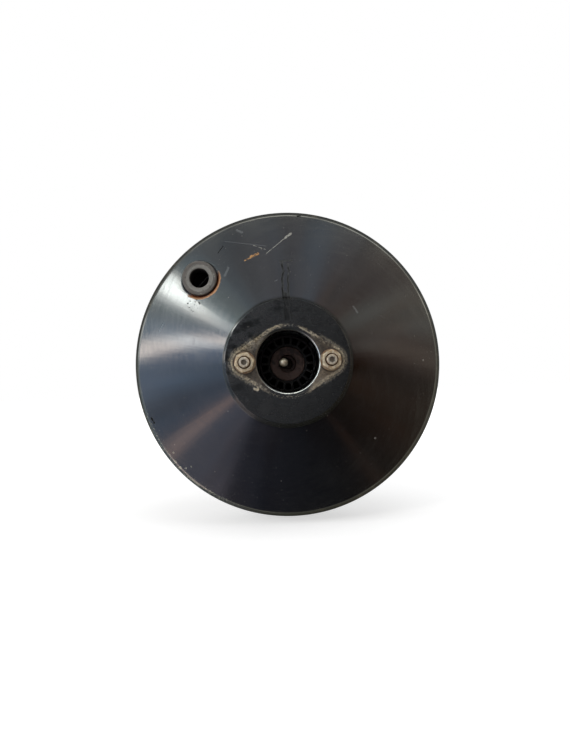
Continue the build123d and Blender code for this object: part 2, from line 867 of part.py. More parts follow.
cuff_end = -boot_cuff_start - boot_cuff_length
tail_cuff_start = tail_end + boot_tail_cuff
last_valley = tail_cuff_start + boot_end_taper
boot_fold_pitch = (cuff_end - last_valley) / boot_folds
fold_points = []
for fold in range(boot_folds):
    peak = cuff_end - (fold + 0.5) * boot_fold_pitch
    fold_points.append((boot_valley_r + boot_fold_depth, peak))
    fold_points.append((boot_valley_r, peak - boot_fold_pitch / 2))
boot_end = tail_end - boot_wall
tail_cuff_r = tail_r + boot_wall

with BuildPart() as dust_boot:
    revolve(
        section(
            (neck_r, -boot_cuff_start),
            (neck_r + boot_wall, -boot_cuff_start),
            (neck_r + boot_wall, cuff_end),
            *fold_points,
            (tail_cuff_r, tail_cuff_start),
            (tail_cuff_r, boot_end),
            (boot_mouth_r, boot_end),
            (boot_mouth_r, tail_end),
            (tail_r, tail_end),
            (tail_r, tail_cuff_start),
            (neck_r + boot_wall, last_valley),
            (neck_r + boot_wall, cuff_end - boot_wall),
            (neck_r, cuff_end - boot_wall),
        ),
        axis=Axis.Y,
    )
save(dust_boot.part, "dust_boot")
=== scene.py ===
import json
import math
from functools import cached_property

import bmesh
import bpy
from mathutils import Matrix, Vector


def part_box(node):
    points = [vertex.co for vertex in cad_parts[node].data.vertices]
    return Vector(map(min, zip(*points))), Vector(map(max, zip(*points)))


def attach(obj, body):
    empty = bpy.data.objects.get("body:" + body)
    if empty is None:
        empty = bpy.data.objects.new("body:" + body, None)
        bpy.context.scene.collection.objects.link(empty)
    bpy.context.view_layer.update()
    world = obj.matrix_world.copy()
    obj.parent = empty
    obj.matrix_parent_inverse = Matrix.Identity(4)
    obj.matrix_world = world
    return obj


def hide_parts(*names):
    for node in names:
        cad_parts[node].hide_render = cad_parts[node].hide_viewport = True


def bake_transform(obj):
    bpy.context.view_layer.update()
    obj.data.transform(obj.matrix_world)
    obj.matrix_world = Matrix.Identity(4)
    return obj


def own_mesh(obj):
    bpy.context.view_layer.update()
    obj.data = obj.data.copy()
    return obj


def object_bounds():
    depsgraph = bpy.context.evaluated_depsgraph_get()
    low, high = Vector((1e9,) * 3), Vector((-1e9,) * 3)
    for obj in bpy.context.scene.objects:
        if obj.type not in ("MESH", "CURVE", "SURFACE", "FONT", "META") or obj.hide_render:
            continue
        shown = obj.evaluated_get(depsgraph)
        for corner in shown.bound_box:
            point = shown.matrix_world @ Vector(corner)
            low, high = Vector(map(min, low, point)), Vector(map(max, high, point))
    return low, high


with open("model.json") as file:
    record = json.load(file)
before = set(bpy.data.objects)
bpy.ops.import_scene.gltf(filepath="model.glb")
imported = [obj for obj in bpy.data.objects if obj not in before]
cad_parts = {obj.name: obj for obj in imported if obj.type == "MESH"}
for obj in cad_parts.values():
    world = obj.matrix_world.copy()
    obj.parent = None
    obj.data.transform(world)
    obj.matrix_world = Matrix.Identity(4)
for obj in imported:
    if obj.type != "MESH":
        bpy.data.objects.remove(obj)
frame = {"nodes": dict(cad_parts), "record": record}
cad_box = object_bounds()

MM = 0.001
TURN = 2 * math.pi

# ---------------- sizes shared with the CAD

GAUGE = 1.6
HUB_FACE = 124
PORT_R, PORT_AZIMUTH = 95.7, math.radians(134.3)
PORT = (PORT_R * math.cos(PORT_AZIMUTH), PORT_R * math.sin(PORT_AZIMUTH))
DIMPLE_R = 15
STUD_X = 31
REAR_STUDS = [(40, 30), (-40, 30), (40, -30), (-40, -30)]
ROD_LEAN = math.radians(4.6)
ROD_PIVOT = 69.2
BALL_STATION, BALL_R = 14, 5.9


# ---------------- mesh helpers

def rounded(corners, steps=5):
    """A closed outline of (radius, station, rounding) corners, with each corner as an arc."""
    outline = []
    count = len(corners)
    for i, (r, s, size) in enumerate(corners):
        here = Vector((r, s))
        before = Vector(corners[i - 1][:2]) - here
        after = Vector(corners[(i + 1) % count][:2]) - here
        angle = before.angle(after)
        reach = size / math.tan(angle / 2) if size else 0
        reach = min(reach, 0.48 * before.length, 0.48 * after.length)
        if reach < 1e-3 or math.pi - angle < 0.02:
            outline.append((r, s))
            continue
        size = reach * math.tan(angle / 2)
        centre = here + (before.normalized() + after.normalized()).normalized() * (
            size / math.sin(angle / 2))
        start = here + before.normalized() * reach - centre
        end = here + after.normalized() * reach - centre
        swing = start.angle_signed(end)
        for step in range(steps + 1):
            outline.append(tuple(centre + Matrix.Rotation(-swing * step / steps, 2) @ start))
    return outline


def sheet(points, gauge=GAUGE):
    """The closed outline of a pressed sheet, from its outer skin's (radius, station, rounding)."""
    skin = [Vector(p[:2]) for p in points]
    steps = [(b - a).normalized() for a, b in zip(skin, skin[1:])]
    sides = [Vector((d.y, -d.x)) for d in steps]
    inner = [(*(skin[0] + sides[0] * gauge), 0.3)]
    for i in range(1, len(skin) - 1):
        one, two = sides[i - 1], sides[i]
        corner = skin[i] + (one + two) * (gauge / (1 + one.dot(two)))
        convex = steps[i - 1].cross(steps[i]) < 0
        size = points[i][2] + (-gauge if convex else gauge)
        inner.append((*corner, max(size, 0.3)))
    inner.append((*(skin[-1] + sides[-1] * gauge), 0.3))
    return list(points) + inner[::-1]


def placed(name, data):
    """A new object in the scene, for a mesh, a lamp or a camera."""
    thing = bpy.data.objects.new(name, data)
    bpy.context.scene.collection.objects.link(thing)
    return thing


def surface(name, vertices, faces):
    """An object whose faces are left as they are given."""
    mesh = bpy.data.meshes.new(name)
    mesh.from_pydata([tuple(v) for v in vertices], [], faces)
    return placed(name, mesh)


def make_object(name, vertices, faces):
    """A mesh object with its normals pointing outward."""
    thing = surface(name, vertices, faces)
    tidy(thing)
    return thing


def tidy(thing, angle=32):
    """Welds doubles, turns normals outward and shades smooth up to an angle."""
    solid = bmesh.new()
    solid.from_mesh(thing.data)
    bmesh.ops.remove_doubles(solid, verts=solid.verts, dist=1e-6)
    bmesh.ops.dissolve_degenerate(solid, edges=solid.edges, dist=1e-7)
    bmesh.ops.recalc_face_normals(solid, faces=solid.faces)
    solid.to_mesh(thing.data)
    solid.free()
    thing.data.polygons.foreach_set("use_smooth", [True] * len(thing.data.polygons))
    thing.data.set_sharp_from_angle(angle=math.radians(angle))
    thing.data.update()


def turned(name, outline, centre=(0, 0), segments=192, sweep=None, wobble=None):
    """An outline of (radius, station) points turned about an axis along Y."""
    first, last = sweep or (0, TURN)
    rows = segments + 1 if sweep else segments
    vertices, faces = [], []
    count = len(outline)
    for row in range(rows):
        angle = first + (last - first) * row / segments
        for r, s in outline:
            if wobble:
                r, s = wobble(r, s, angle)
            vertices.append(((centre[0] + r * math.cos(angle)) * MM, -s * MM,
                             (centre[1] + r * math.sin(angle)) * MM))
    for row in range(segments):
        here, there = row * count, (row + 1) % rows * count
        for i in range(count):
            j = (i + 1) % count
            faces.append((here + i, here + j, there + j, there + i))
    if sweep:
        faces.append(tuple(range(count)))
        faces.append(tuple(range(segments * count, rows * count))[::-1])
    return make_object(name, vertices, faces)


def drawn_out(name, outline, ends, place):
    """A flat outline drawn out between two ends, where place gives a point in millimetres."""
    count = len(outline)
    vertices = [[k * MM for k in place(u, v, end)] for end in ends for u, v in outline]
    faces = [(i, (i + 1) % count, count + (i + 1) % count, count + i) for i in range(count)]
    faces += [tuple(range(count))[::-1], tuple(range(count, 2 * count))]
    return make_object(name, vertices, faces)


def lathe(name, corners, steps, segments, centre=(0, 0), **sweep):
    """Rounded (radius, station, rounding) corners turned about an axis along Y."""
    return turned(name, rounded(corners, steps), centre, segments, **sweep)


def prism(name, outline, back, front, centre=(0, 0)):
    """A flat outline of (x, z) points drawn out between two stations."""
    return drawn_out(name, outline, (back, front),
                     lambda x, z, s: (centre[0] + x, -s, centre[1] + z))


def plate(name, outline, half):
    """A flat outline of (y, z) points drawn out to both sides of the middle, along X."""
    return drawn_out(name, outline, (-half, half), lambda y, z, x: (x, y, z))


def carve(thing, tool, operation="DIFFERENCE"):
    """Cuts, joins or crosses two solids, and deletes the tool."""
    change = thing.modifiers.new("carve", "BOOLEAN")
    change.operation = operation
    change.object = tool
    change.solver = "EXACT"
    view_layer = bpy.context.view_layer
    view_layer.update()
    result = bpy.data.meshes.new_from_object(thing.evaluated_get(view_layer.depsgraph))
    thing.modifiers.clear()
    thing.data = result
    bpy.data.objects.remove(tool)
    tidy(thing)
    return thing


def joined(name, things):
    """One object from several loose ones."""
    solid = bmesh.new()
    for thing in things:
        solid.from_mesh(thing.data)
        bpy.data.objects.remove(thing)
    mesh = bpy.data.meshes.new(name)
    solid.to_mesh(mesh)
    solid.free()
    whole = placed(name, mesh)
    tidy(whole)
    return whole


def soften(thing, width, chosen=None, steps=3, angle=30):
    """Rounds the sharp edges, or those of them that a test of their two ends picks."""
    solid = bmesh.new()
    solid.from_mesh(thing.data)
    edges = [e for e in solid.edges if len(e.link_faces) == 2
             and e.calc_face_angle(0) > math.radians(angle)
             and (chosen is None or all(chosen(v.co / MM) for v in e.verts))]
    bmesh.ops.bevel(solid, geom=edges, offset=width * MM, offset_type="OFFSET",
                    segments=steps, profile=0.5, affect="EDGES", clamp_overlap=True)
    solid.to_mesh(thing.data)
    solid.free()
    tidy(thing)


def polygon(sides, across_flats, start=0):
    """The corners of a regular polygon, from its size across flats."""
    r = across_flats / 2 / math.cos(math.pi / sides)
    return [(r * math.cos(start + TURN * i / sides), r * math.sin(start + TURN * i / sides))
            for i in range(sides)]


def thread(name, r, back, front, centre=(0, 0), pitch=1.25, depth=0.7, segments=64):
    """A screw thread: a solid turned rod whose skin rises and falls along a helix."""
    rows_per_turn, flank, run_out = 10, 2.4, 0.9
    rows = int((front - back) / pitch * rows_per_turn)
    outline = [(0, back)]
    outline += [(r, back + (front - back) * i / rows) for i in range(rows + 1)]
    outline += [(0, front)]

    def helix(radius, s, angle):
        if not radius:
            return radius, s
        phase = (s / pitch - angle / TURN) % 1
        dip = depth * max(0, 1 - abs(phase - 0.5) * flank)
        ends = max(0, run_out - (front - s)) + max(0, run_out - (s - back))
        return radius - max(dip, ends), s
    return turned(name, outline, centre, segments, wobble=helix)


# ---------------- material helpers

class Graph:
    """A short way to write a node tree. Masks are numbers from 0 to 1."""

    def __init__(self, tree, output):
        self.tree = tree
        tree.nodes.clear()
        self.output = self.add(output)

    def add(self, kind, settings=None, **inputs):
        node = self.tree.nodes.new(kind)
        for key, value in (settings or {}).items():
            setattr(node, key, value)
        for key, value in inputs.items():
            self.put(node.inputs[key.replace("_", " ")], value)
        return node

    def put(self, socket, value):
        if isinstance(value, bpy.types.NodeSocket):
            self.tree.links.new(value, socket)
        elif isinstance(value, (tuple, list)) and len(value) == 3 and socket.type == "RGBA":
            socket.default_value = (*value, 1)
        else:
            socket.default_value = value

    def fill(self, node, *values):
        """A node with its first sockets filled in order."""
        for socket, value in zip(node.inputs, values):
            self.put(socket, value)
        return node

    def show(self, shader):
        self.put(self.output.inputs["Surface"], shader.outputs[0])

    def math(self, operation, *values, clamp=False):
        node = self.add("ShaderNodeMath", {"operation": operation, "use_clamp": clamp})
        return self.fill(node, *values).outputs[0]

    def folded(self, operation, values):
        total = values[0]
        for value in values[1:]:
            total = self.math(operation, total, value)
        return total

    def plus(self, *terms):
        return self.folded("ADD", terms)

    def times(self, *masks):
        return self.folded("MULTIPLY", masks)

    def most(self, *masks):
        return self.folded("MAXIMUM", masks)

    def minus(self, one, two):
        return self.math("SUBTRACT", one, two)

    def absolute(self, value):
        return self.math("ABSOLUTE", value)

    def cosine(self, angle, ahead=0):
        return self.math("COSINE", self.plus(angle, ahead) if ahead else angle)

    def vector(self, operation, *values, scale=None):
        node = self.fill(self.add("ShaderNodeVectorMath", {"operation": operation}), *values)
        if scale is not None:
            self.put(node.inputs["Scale"], scale)
        kind = "Value" if operation in ("DOT_PRODUCT", "LENGTH", "DISTANCE") else "Vector"
        return node.outputs[kind]

    def point(self, x, y, z=0):
        return self.add("ShaderNodeCombineXYZ", X=x, Y=y, Z=z).outputs[0]

    def ramp(self, value, low, high, out_low=0, out_high=1):
        """A smooth change from one number to another while the value goes from low to high."""
        node = self.add("ShaderNodeMapRange", {"interpolation_type": "SMOOTHSTEP"})
        return self.fill(node, value, low, high, out_low, out_high).outputs[0]

    def mix(self, share, one, two):
        node = self.add("ShaderNodeMix", {"data_type": "RGBA"}, Factor=share)
        self.put(node.inputs[6], one)
        self.put(node.inputs[7], two)
        return node.outputs[2]

    def between(self, share, one, two):
        """A number between two others."""
        node = self.add("ShaderNodeMix", {"data_type": "FLOAT"}, Factor=share)
        self.put(node.inputs[2], one)
        self.put(node.inputs[3], two)
        return node.outputs[0]

    def layered(self, colour, *layers):
        """A colour under layers of (mask, colour)."""
        for mask, shade in layers:
            colour = self.mix(mask, colour, shade)
        return colour

    def lit(self, colour, light, level):
        """A colour with a light of that level added."""
        return self.vector("ADD", colour, self.vector("SCALE", light, scale=level))

    def direct(self):
        """1 for the rays that show a surface, and 0 for those that only light another."""
        rays = self.add("ShaderNodeLightPath").outputs
        return self.most(rays["Is Camera Ray"], rays["Is Glossy Ray"], rays["Is Transmission Ray"])


class Nodes(Graph):
    """A material's nodes. Places are object coordinates in millimetres."""

    def __init__(self, name):
        self.material = bpy.data.materials.new(name)
        self.material.use_nodes = True
        super().__init__(self.material.node_tree, "ShaderNodeOutputMaterial")
        self.shader = self.add("ShaderNodeBsdfPrincipled")
        self.show(self.shader)
        metres = self.add("ShaderNodeTexCoord").outputs["Object"]
        self.place = self.vector("SCALE", metres, scale=1000)
        split = self.add("ShaderNodeSeparateXYZ", Vector=self.place)
        self.x, self.y, self.z = split.outputs

    @cached_property
    def station(self):
        return self.times(self.y, -1)

    @cached_property
    def about_axis(self):
        return self.polar()

    @property
    def r(self):
        return self.about_axis[0]

    @property
    def angle(self):
        return self.about_axis[1]

    def noise(self, size, detail=3, roughness=0.55, stretch=(1, 1, 1), place=None, seed=0):
        """Noise from 0 to 1, with features about size millimetres across."""
        scaled = self.vector("MULTIPLY", place or self.place, tuple(k / size for k in stretch))
        moved = self.vector("ADD", scaled, (seed, seed * 1.7, seed * 0.6))
        node = self.add("ShaderNodeTexNoise", Vector=moved, Scale=1, Detail=detail,
                        Roughness=roughness)
        return node.outputs[0]

    def polar(self, centre=(0, 0)):
        """(radius, angle in radians) about an axis along Y."""
        dx, dz = self.minus(self.x, centre[0]), self.minus(self.z, centre[1])
        r = self.math("SQRT", self.plus(self.times(dx, dx), self.times(dz, dz)))
        return r, self.math("ARCTAN2", dz, dx)

    def stud_r(self):
        """The distance from the nearer master cylinder stud's axis."""
        return self.vector("DISTANCE", self.point(self.absolute(self.x), self.z), (STUD_X, 0, 0))

    def stroke(self, a, b, width, ragged, seed, taper=0):
        """1 on a ragged line in X and Z between two points, fading over its width."""
        along = Vector((b[0] - a[0], b[1] - a[1]))
        offset = self.vector("SUBTRACT", self.point(self.x, self.z), (*a, 0))
        share = self.vector("DOT_PRODUCT", offset, (*(along / along.length_squared), 0))
        share = self.math("ADD", share, 0, clamp=True)
        gap = self.vector("DISTANCE", offset, self.vector("SCALE", (*along, 0), scale=share))
        wave = self.minus(self.noise(max(width * 1.6, 1), 5, 0.7, seed=seed), 0.5)
        gap = self.plus(gap, self.times(wave, ragged * 4))
        if taper:
            gap = self.plus(gap, self.times(share, taper * width))
        return self.ramp(gap, width * 0.35, width, 1, 0)

    def strokes(self, *rows):
        """The strokes of (a, b, width, ragged, seed) rows."""
        return self.most(*(self.stroke(*row) for row in rows))

    def spot(self, centre, size, ragged, seed, grain=1):
        """1 in a ragged spot round an (x, z) centre."""
        wave = self.minus(self.noise(grain, seed=seed), 0.5)
        r = self.plus(self.polar(centre)[0], self.times(wave, ragged * 4 * size))
        return self.ramp(r, size * 0.7, size * 1.1, 1, 0)

    def spots(self, ragged, seed, *places):
        """The spots of (x, z, size), each with a seed of its own."""
        return self.most(*(self.spot((x, z), size, ragged, seed + size) for x, z, size in places))

    def bump(self, height, distance):
        """A bump of that depth in millimetres."""
        node = self.add("ShaderNodeBump", Height=height, Distance=distance * MM, Strength=1)
        self.put(self.shader.inputs["Normal"], node.outputs[0])

    def finish(self, **inputs):
        for key, value in inputs.items():
            self.put(self.shader.inputs[key.replace("_", " ")], value)
        return self.material


# ---------------- the shell's paint

def paint_marks(n, on_front):
    """Masks of (amber paint, pale scratches, faint scratches, pale specks) on the cone."""
    amber = n.strokes(((-31, 81.6), (-20.6, 86.6), 0.7, 0.3, 1, -0.2),
                      ((-26, 84.4), (-20.6, 86.8), 1.3, 0.6, 2))
    amber = n.times(amber, on_front,
                    n.ramp(n.noise(0.9, 4, 0.7, stretch=(0.4, 1, 0.9), seed=40), 0.40, 0.52))
    pale = n.strokes(((-14, 86.5), (4, 101.6), 0.35, 0.1, 4),
                     ((1.5, 99.5), (6, 103), 1.1, 0.45, 5),
                     ((-24, 94), (-14, 90), 0.3, 0.1, 9))
    pale = n.times(pale, on_front, n.ramp(n.noise(3, 5, 0.7, seed=41), 0.36, 0.5))
    faint = n.strokes(((-47, 99), (-14, 93), 0.3, 0.1, 6),
                      ((-37, 108), (-33, 106), 1.4, 0.7, 7),
                      ((-47, 70), (-44, 76), 1.3, 0.5, 42),
                      ((-101, 28), (-97, 35), 0.35, 0.1, 12),
                      ((52, 42), (55, 37), 0.9, 0.5, 13),
                      ((-8, 63), (-6, 64), 0.5, 0.3, 43))
    dots = n.spots(0.35, 66, (66.6, -61, 0.9), (107.6, -1, 0.9), (-44, 52, 0.5),
                   (-8, -92, 0.5))
    dust = n.times(n.ramp(n.noise(1.3, 2, 0.5, seed=67), 0.70, 0.75),
                   n.ramp(n.noise(30, 2, seed=68), 0.48, 0.60))
    specks = n.times(n.most(n.times(dots, 0.4), n.times(dust, 0.25)), on_front)
    return amber, pale, n.times(faint, on_front, 0.22), specks


def paint_stains(n, on_front):
    """The two drips above the hub, and soot spots."""
    wander = n.times(n.minus(n.noise(11, 3, stretch=(0, 0, 1), seed=14), 0.5), 7)
    drips = n.most(*(
        n.times(n.ramp(n.absolute(n.minus(n.plus(n.x, wander), x)), 0.25, wide, 1, 0),
                n.ramp(n.z, top, top - 4), n.ramp(n.z, 27, 31), level)
        for x, wide, top, level in ((-1.4, 1.2, 80, 0.9), (3, 1.1, 79, 0.75),
                                    (0.6, 2.4, 56, 0.8))))
    drips = n.times(drips, n.ramp(n.noise(4, 5, 0.7, seed=45), 0.30, 0.52))
    under_port = n.times(n.spot((-72.5, 47.5), 6, 0.35, 20, grain=6),
                         n.ramp(n.noise(1.5, 2, 0.5, seed=46), 0.60, 0.66))
    soot = n.strokes(((-52.4, 89.4), (-48.4, 94.9), 0.5, 0.3, 18),
                     ((12, 118), (14, 118.4), 0.9, 0.8, 21),
                     ((-110, -40), (-108, -44), 0.9, 0.9, 22))
    return n.times(on_front, n.most(
        drips, under_port, soot,
        n.times(n.stroke((-3, 79.6), (6, 79.9), 0.9, 0.8, 16), 0.5),
        n.times(n.stroke((-0.6, 38), (-0.2, 31), 2.4, 0.9, 17), 0.8)))


def paint_chips(n, on_front):
    """Stone chips and rubbed paint at the rim's low left."""
    low_left_rim = n.ramp(n.cosine(n.angle, 2.42), 0.86, 0.95)
    chips = n.most(
        n.times(n.ramp(n.r, 117.5, 119.5), n.ramp(n.station, 74.5, 76.5), low_left_rim,
                n.ramp(n.noise(1.5, 4, 0.65, seed=51), 0.54, 0.62)),
        n.spots(0.5, 53, (-88.6, -80.4, 1.5), (-92, -75.6, 1.1), (-83.6, -80.8, 0.9),
                (-79, -79.5, 0.7), (-93.2, -68, 0.7)),
        n.stroke((-83, -87.5), (-74, -95), 0.8, 0.5, 57))
    chips = n.times(chips, n.ramp(n.noise(0.9, 3, seed=58), 0.35, 0.5), on_front)
    rubs = n.times(n.ramp(n.r, 112, 118), n.ramp(n.r, 123, 120), low_left_rim, on_front,
                   n.ramp(n.noise(1, 4, 0.6, stretch=(0.5, 1, 2.6), seed=52), 0.60, 0.72))
    return n.most(n.times(chips, 0.8), n.times(rubs, 0.3))


def port_stains(n, on_front):
    """(rust, its tan rim) in the port's dimple, strongest where the water stands."""
    port_r, port_angle = n.polar(PORT)
    low_side = n.ramp(n.math("SINE", n.plus(port_angle, math.radians(145))), 0.15, 0.55)
    wave = n.times(n.minus(n.noise(4, 5, seed=26), 0.5), 2.2)
    rust = n.times(n.ramp(n.plus(port_r, wave), 16, 17, 1, 0), on_front, low_side)
    return rust, n.times(n.ramp(port_r, 14.9, 15.9), rust)


def lozenge_gap(n, side_r=27.4, tip_r=10.4):
    """How far a point lies outside the flange's lozenge: a circle and two tips, joined straight."""
    drop = (side_r - tip_r) / STUD_X
    level = math.sqrt(1 - drop * drop)
    ax, az = n.absolute(n.x), n.absolute(n.z)
    straight = n.minus(n.plus(n.times(az, level), n.times(ax, drop)), side_r)
    along = n.minus(n.times(ax, level), n.times(az, drop))
    at_tip = n.ramp(along, STUD_X * level - 0.01, STUD_X * level)
    gap = n.between(at_tip, straight, n.minus(n.stud_r(), tip_r))
    return n.between(n.ramp(along, -0.01, 0, 1, 0), gap, n.minus(n.r, side_r))


def flange_dirt(n):
    """Masks of (crust, brown fill, hatching) in the lozenge that the master cylinder's flange
    has left on the hub."""
    fray = n.minus(n.noise(2.4, 5, 0.65, seed=27), 0.5)
    gap = n.plus(lozenge_gap(n), n.times(fray, 2.6))
    ax = n.absolute(n.x)
    inside = n.ramp(gap, -0.7, 0.4, 1, 0)
    ridge = n.times(n.ramp(gap, -3.4, -1.4), inside)
    near_stud = n.ramp(ax, 11.5, 22)
    patchy = n.ramp(n.noise(3.2, 5, 0.7, seed=28), 0.40, 0.60)
    crumbs = n.ramp(n.noise(1.3, 5, 0.75, seed=29), 0.44, 0.54)
    hatch = n.noise(1, 2, stretch=(0.45, 1, 1.6), seed=33)
    upper_left = n.times(n.ramp(n.x, 1, -8), n.ramp(n.z, 2, 10))
    upper_right = n.times(n.ramp(n.x, 8, 14), n.ramp(n.z, 2, 8))
    low_right = n.times(n.ramp(n.x, 12, 20), n.ramp(n.z, -1, -6))
    low_left = n.times(n.ramp(n.x, -12, -20), n.ramp(n.z, 0, -5))

    def crumbly(least, most=1):
        return n.ramp(crumbs, 0, 1, least, most)

    crust = n.most(
        n.times(ridge, upper_left, n.ramp(patchy, 0, 0.7, 0.45, 1), crumbly(0.2)),
        n.times(ridge, upper_right, n.ramp(n.noise(6, 3, 0.6, seed=63), 0.42, 0.60), patchy,
                crumbly(0.3)),
        n.times(n.stroke((10, 24), (17, 19.5), 0.6, 0.4, 65), 0.7),
        n.times(ridge, low_left, n.ramp(patchy, 0, 0.7, 0.3, 1), crumbly(0.1)),
        n.times(ridge, low_right, crumbly(0.1, 0.75)),
        n.times(n.ramp(gap, -6.5, -2.5), inside, low_right, n.ramp(hatch, 0.50, 0.62), 0.55),
        n.times(n.ramp(gap, -8, -3), inside, upper_left, near_stud, crumbs, 0.35),
        n.times(ridge, n.ramp(ax, 31, 35), crumbly(0.3)),
        n.times(n.ramp(gap, 2.6, 0.6), n.ramp(gap, -0.6, 0.4), crumbs, n.ramp(ax, 20, 30), 0.35),
        n.times(n.strokes(((-24.6, -19), (-22.4, -20), 1.15, 0.35, 30),
                          ((-22.3, -18), (-21.8, -19.8), 0.7, 0.3, 64)),
                n.ramp(n.station, 121, 123), 0.9),
        n.times(n.ramp(n.r, 24.6, 25.4), n.ramp(n.r, 27.6, 26.2), n.ramp(n.z, -19, -24),
                n.ramp(n.noise(0.9, 4, 0.7, seed=31), 0.55, 0.62), 0.6),
        n.times(n.ramp(n.r, 25.2, 25.8), n.ramp(n.r, 27.4, 26.6), n.ramp(n.z, 20, 24),
                n.ramp(n.noise(1.6, 5, 0.7, seed=47), 0.50, 0.60), 0.6))
    fill = n.most(n.times(low_right, n.ramp(hatch, 0.35, 0.6, 0.6, 1)), n.times(near_stud, 0.45))
    return (crust, n.times(inside, fill, n.ramp(patchy, 0, 1, 0.6, 1)),
            n.times(n.ramp(hatch, 0.55, 0.62), inside, near_stud))


def worn_lip_and_highlight(n):
    """The bore's edge, worn to bare metal and painted brightest towards the lower right as a
    highlight, and a painted highlight line inside it.
    """
    # Painted highlight: the bare edge is brightest towards the lower right.
    edge = n.times(n.ramp(n.r, 23.6, 23.3), n.ramp(n.station, 122, 122.4),
                   n.ramp(n.cosine(n.angle, math.radians(42)), -0.45, 0.75),
                   n.ramp(n.noise(3, 4, seed=48), 0.28, 0.5, 0.35, 1))
    # Painted highlight: a pale line on the bore's inner wall.
    line = n.times(n.ramp(n.r, 23.1, 22.8), n.ramp(n.station, 119.2, 119.6),
                   n.ramp(n.station, 120.4, 120),
                   n.ramp(n.cosine(n.angle, -0.75), 0.55, 0.85), 0.5)
    return n.most(edge, line)


def black_paint():
    """Gloss black enamel on a spun pressing, scratched, stained and rusted round its fittings."""
    n = Nodes("black_paint")
    on_front = n.ramp(n.station, 60, 78)
    # Rubbing marks: fine arcs round the axis, straight wiping lines, and soft spirals of film.
    rubbed = n.noise(1, 4, stretch=(1, 2.2, 1), place=n.point(n.times(n.angle, 6), n.r), seed=3)
    wiped = n.noise(1, 4, stretch=(3.2, 0.03, 0.12), seed=8)
    swirl = n.noise(1, 5, stretch=(0.16, 0.2, 3.4), seed=11)
    wear = n.plus(n.times(rubbed, 0.4), n.times(wiped, 0.3), n.times(swirl, 0.3))
    haze = n.noise(38, 3, seed=5)
    spiral = n.plus(n.math("DIVIDE", n.r, 3.2), n.times(n.angle, 9))
    arcs = n.noise(1, 5, 0.62, place=n.point(n.times(n.angle, 1.6), spiral), seed=55)
    film = n.times(n.ramp(arcs, 0.42, 0.72), n.ramp(haze, 0.35, 0.65, 0.3, 1), on_front)
    # The spun sheet is faintly wavy along its spokes.
    spokes = n.noise(1, 4, 0.6, seed=56,
                     place=n.point(n.times(n.angle, 22), n.math("DIVIDE", n.r, 42)))

    amber, pale, faint, specks = paint_marks(n, on_front)
    stain = paint_stains(n, on_front)
    port_rust, tan_rim = port_stains(n, on_front)
    lip_wear_and_highlight = worn_lip_and_highlight(n)
    grit = n.times(n.ramp(n.noise(1.7, 1, seed=23), 0.76, 0.79),
                   n.ramp(n.noise(24, seed=24), 0.5, 0.62), on_front)
    edge_grime = n.times(n.ramp(n.r, 117, 122.5), n.ramp(n.noise(7, 4, seed=25), 0.5, 0.68),
                         n.ramp(n.station, 68, 77, 0.15, 1))
    # The hub is cloudy with old grease, more so at its upper left, and the cloud is painted paler
    # towards the left as a sheen.
    on_nose = n.times(n.ramp(n.station, 121, 123.2), n.ramp(n.r, 24.5, 27))
    blotch = n.noise(9, 5, 0.6, stretch=(0.8, 1, 1.3), seed=50)
    cloud = n.times(on_nose, n.ramp(blotch, 0.46, 0.66))
    grease = n.times(on_nose, n.ramp(blotch, 0.64, 0.36),
                     n.ramp(n.minus(n.z, n.x), -20, 40, 0.5, 1), 0.95)
    on_hub = n.times(n.ramp(n.station, 121.5, 123.4), n.ramp(n.r, 22.6, 23.6))
    crust, brown_fill, hatch = (n.times(mask, on_hub) for mask in flange_dirt(n))
    # Painted shade: a dark ring round the foot of each nut.
    shade_round_nut = n.times(n.ramp(n.stud_r(), 9.4, 8.2), on_hub)

    colour = n.layered(
        n.mix(n.ramp(haze, 0.3, 0.75), (0.0025, 0.0028, 0.0034), (0.0045, 0.005, 0.006)),
        (n.times(n.ramp(wear, 0.5, 0.62), 0.25), (0.022, 0.024, 0.028)),
        (n.times(film, 0.4), (0.009, 0.0092, 0.0095)),
        (n.times(pale, 0.75), (0.42, 0.41, 0.36)),
        (faint, (0.35, 0.37, 0.38)),
        (specks, (0.36, 0.34, 0.32)),
        (amber, n.mix(n.noise(2, seed=34), (0.62, 0.30, 0.06), (0.34, 0.15, 0.04))),
        (n.times(grit, 0.6), (0.30, 0.28, 0.24)),
        (n.times(edge_grime, 0.5), (0.12, 0.10, 0.07)),
        (paint_chips(n, on_front), (0.44, 0.43, 0.33)),
        (stain, (0.003, 0.003, 0.003)),
        # Painted sheen: the grease cloud is paler towards the left.
        (n.times(cloud, 0.8), n.mix(n.ramp(n.x, 5, -25), (0.009, 0.0092, 0.0095),
                                    (0.013, 0.013, 0.014))),
        (port_rust, n.mix(n.noise(2.2, 4, seed=35), (0.16, 0.035, 0.008), (0.42, 0.13, 0.03))),
        (n.times(tan_rim, 0.8), (0.55, 0.30, 0.14)),
        (n.times(brown_fill, 0.85), n.mix(n.noise(2.5, 5, seed=36), (0.060, 0.042, 0.028),
                                          (0.30, 0.215, 0.13))),
        (crust, n.mix(n.noise(1.8, 5, seed=37), (0.30, 0.23, 0.14), (0.62, 0.55, 0.42))),
        (n.times(hatch, 0.7), (0.012, 0.010, 0.009)),
        (n.times(shade_round_nut, 0.85), (0.03, 0.018, 0.012)),
        # The bore's edge: bare metal with a painted highlight.
        (lip_wear_and_highlight, (0.60, 0.62, 0.62)))

    n.bump(n.plus(n.times(wear, 0.010), n.times(crust, 0.25), n.times(spokes, 0.03),
                  n.times(arcs, 0.012), n.times(port_rust, n.noise(1.2, 3, seed=38), 0.12)), 1)
    dull = n.most(stain, grease, port_rust, crust, n.times(brown_fill, 0.9), pale, amber)
    gloss = n.ramp(n.plus(wear, n.times(haze, 0.35)), 0.42, 0.95, 0.06, 0.20)
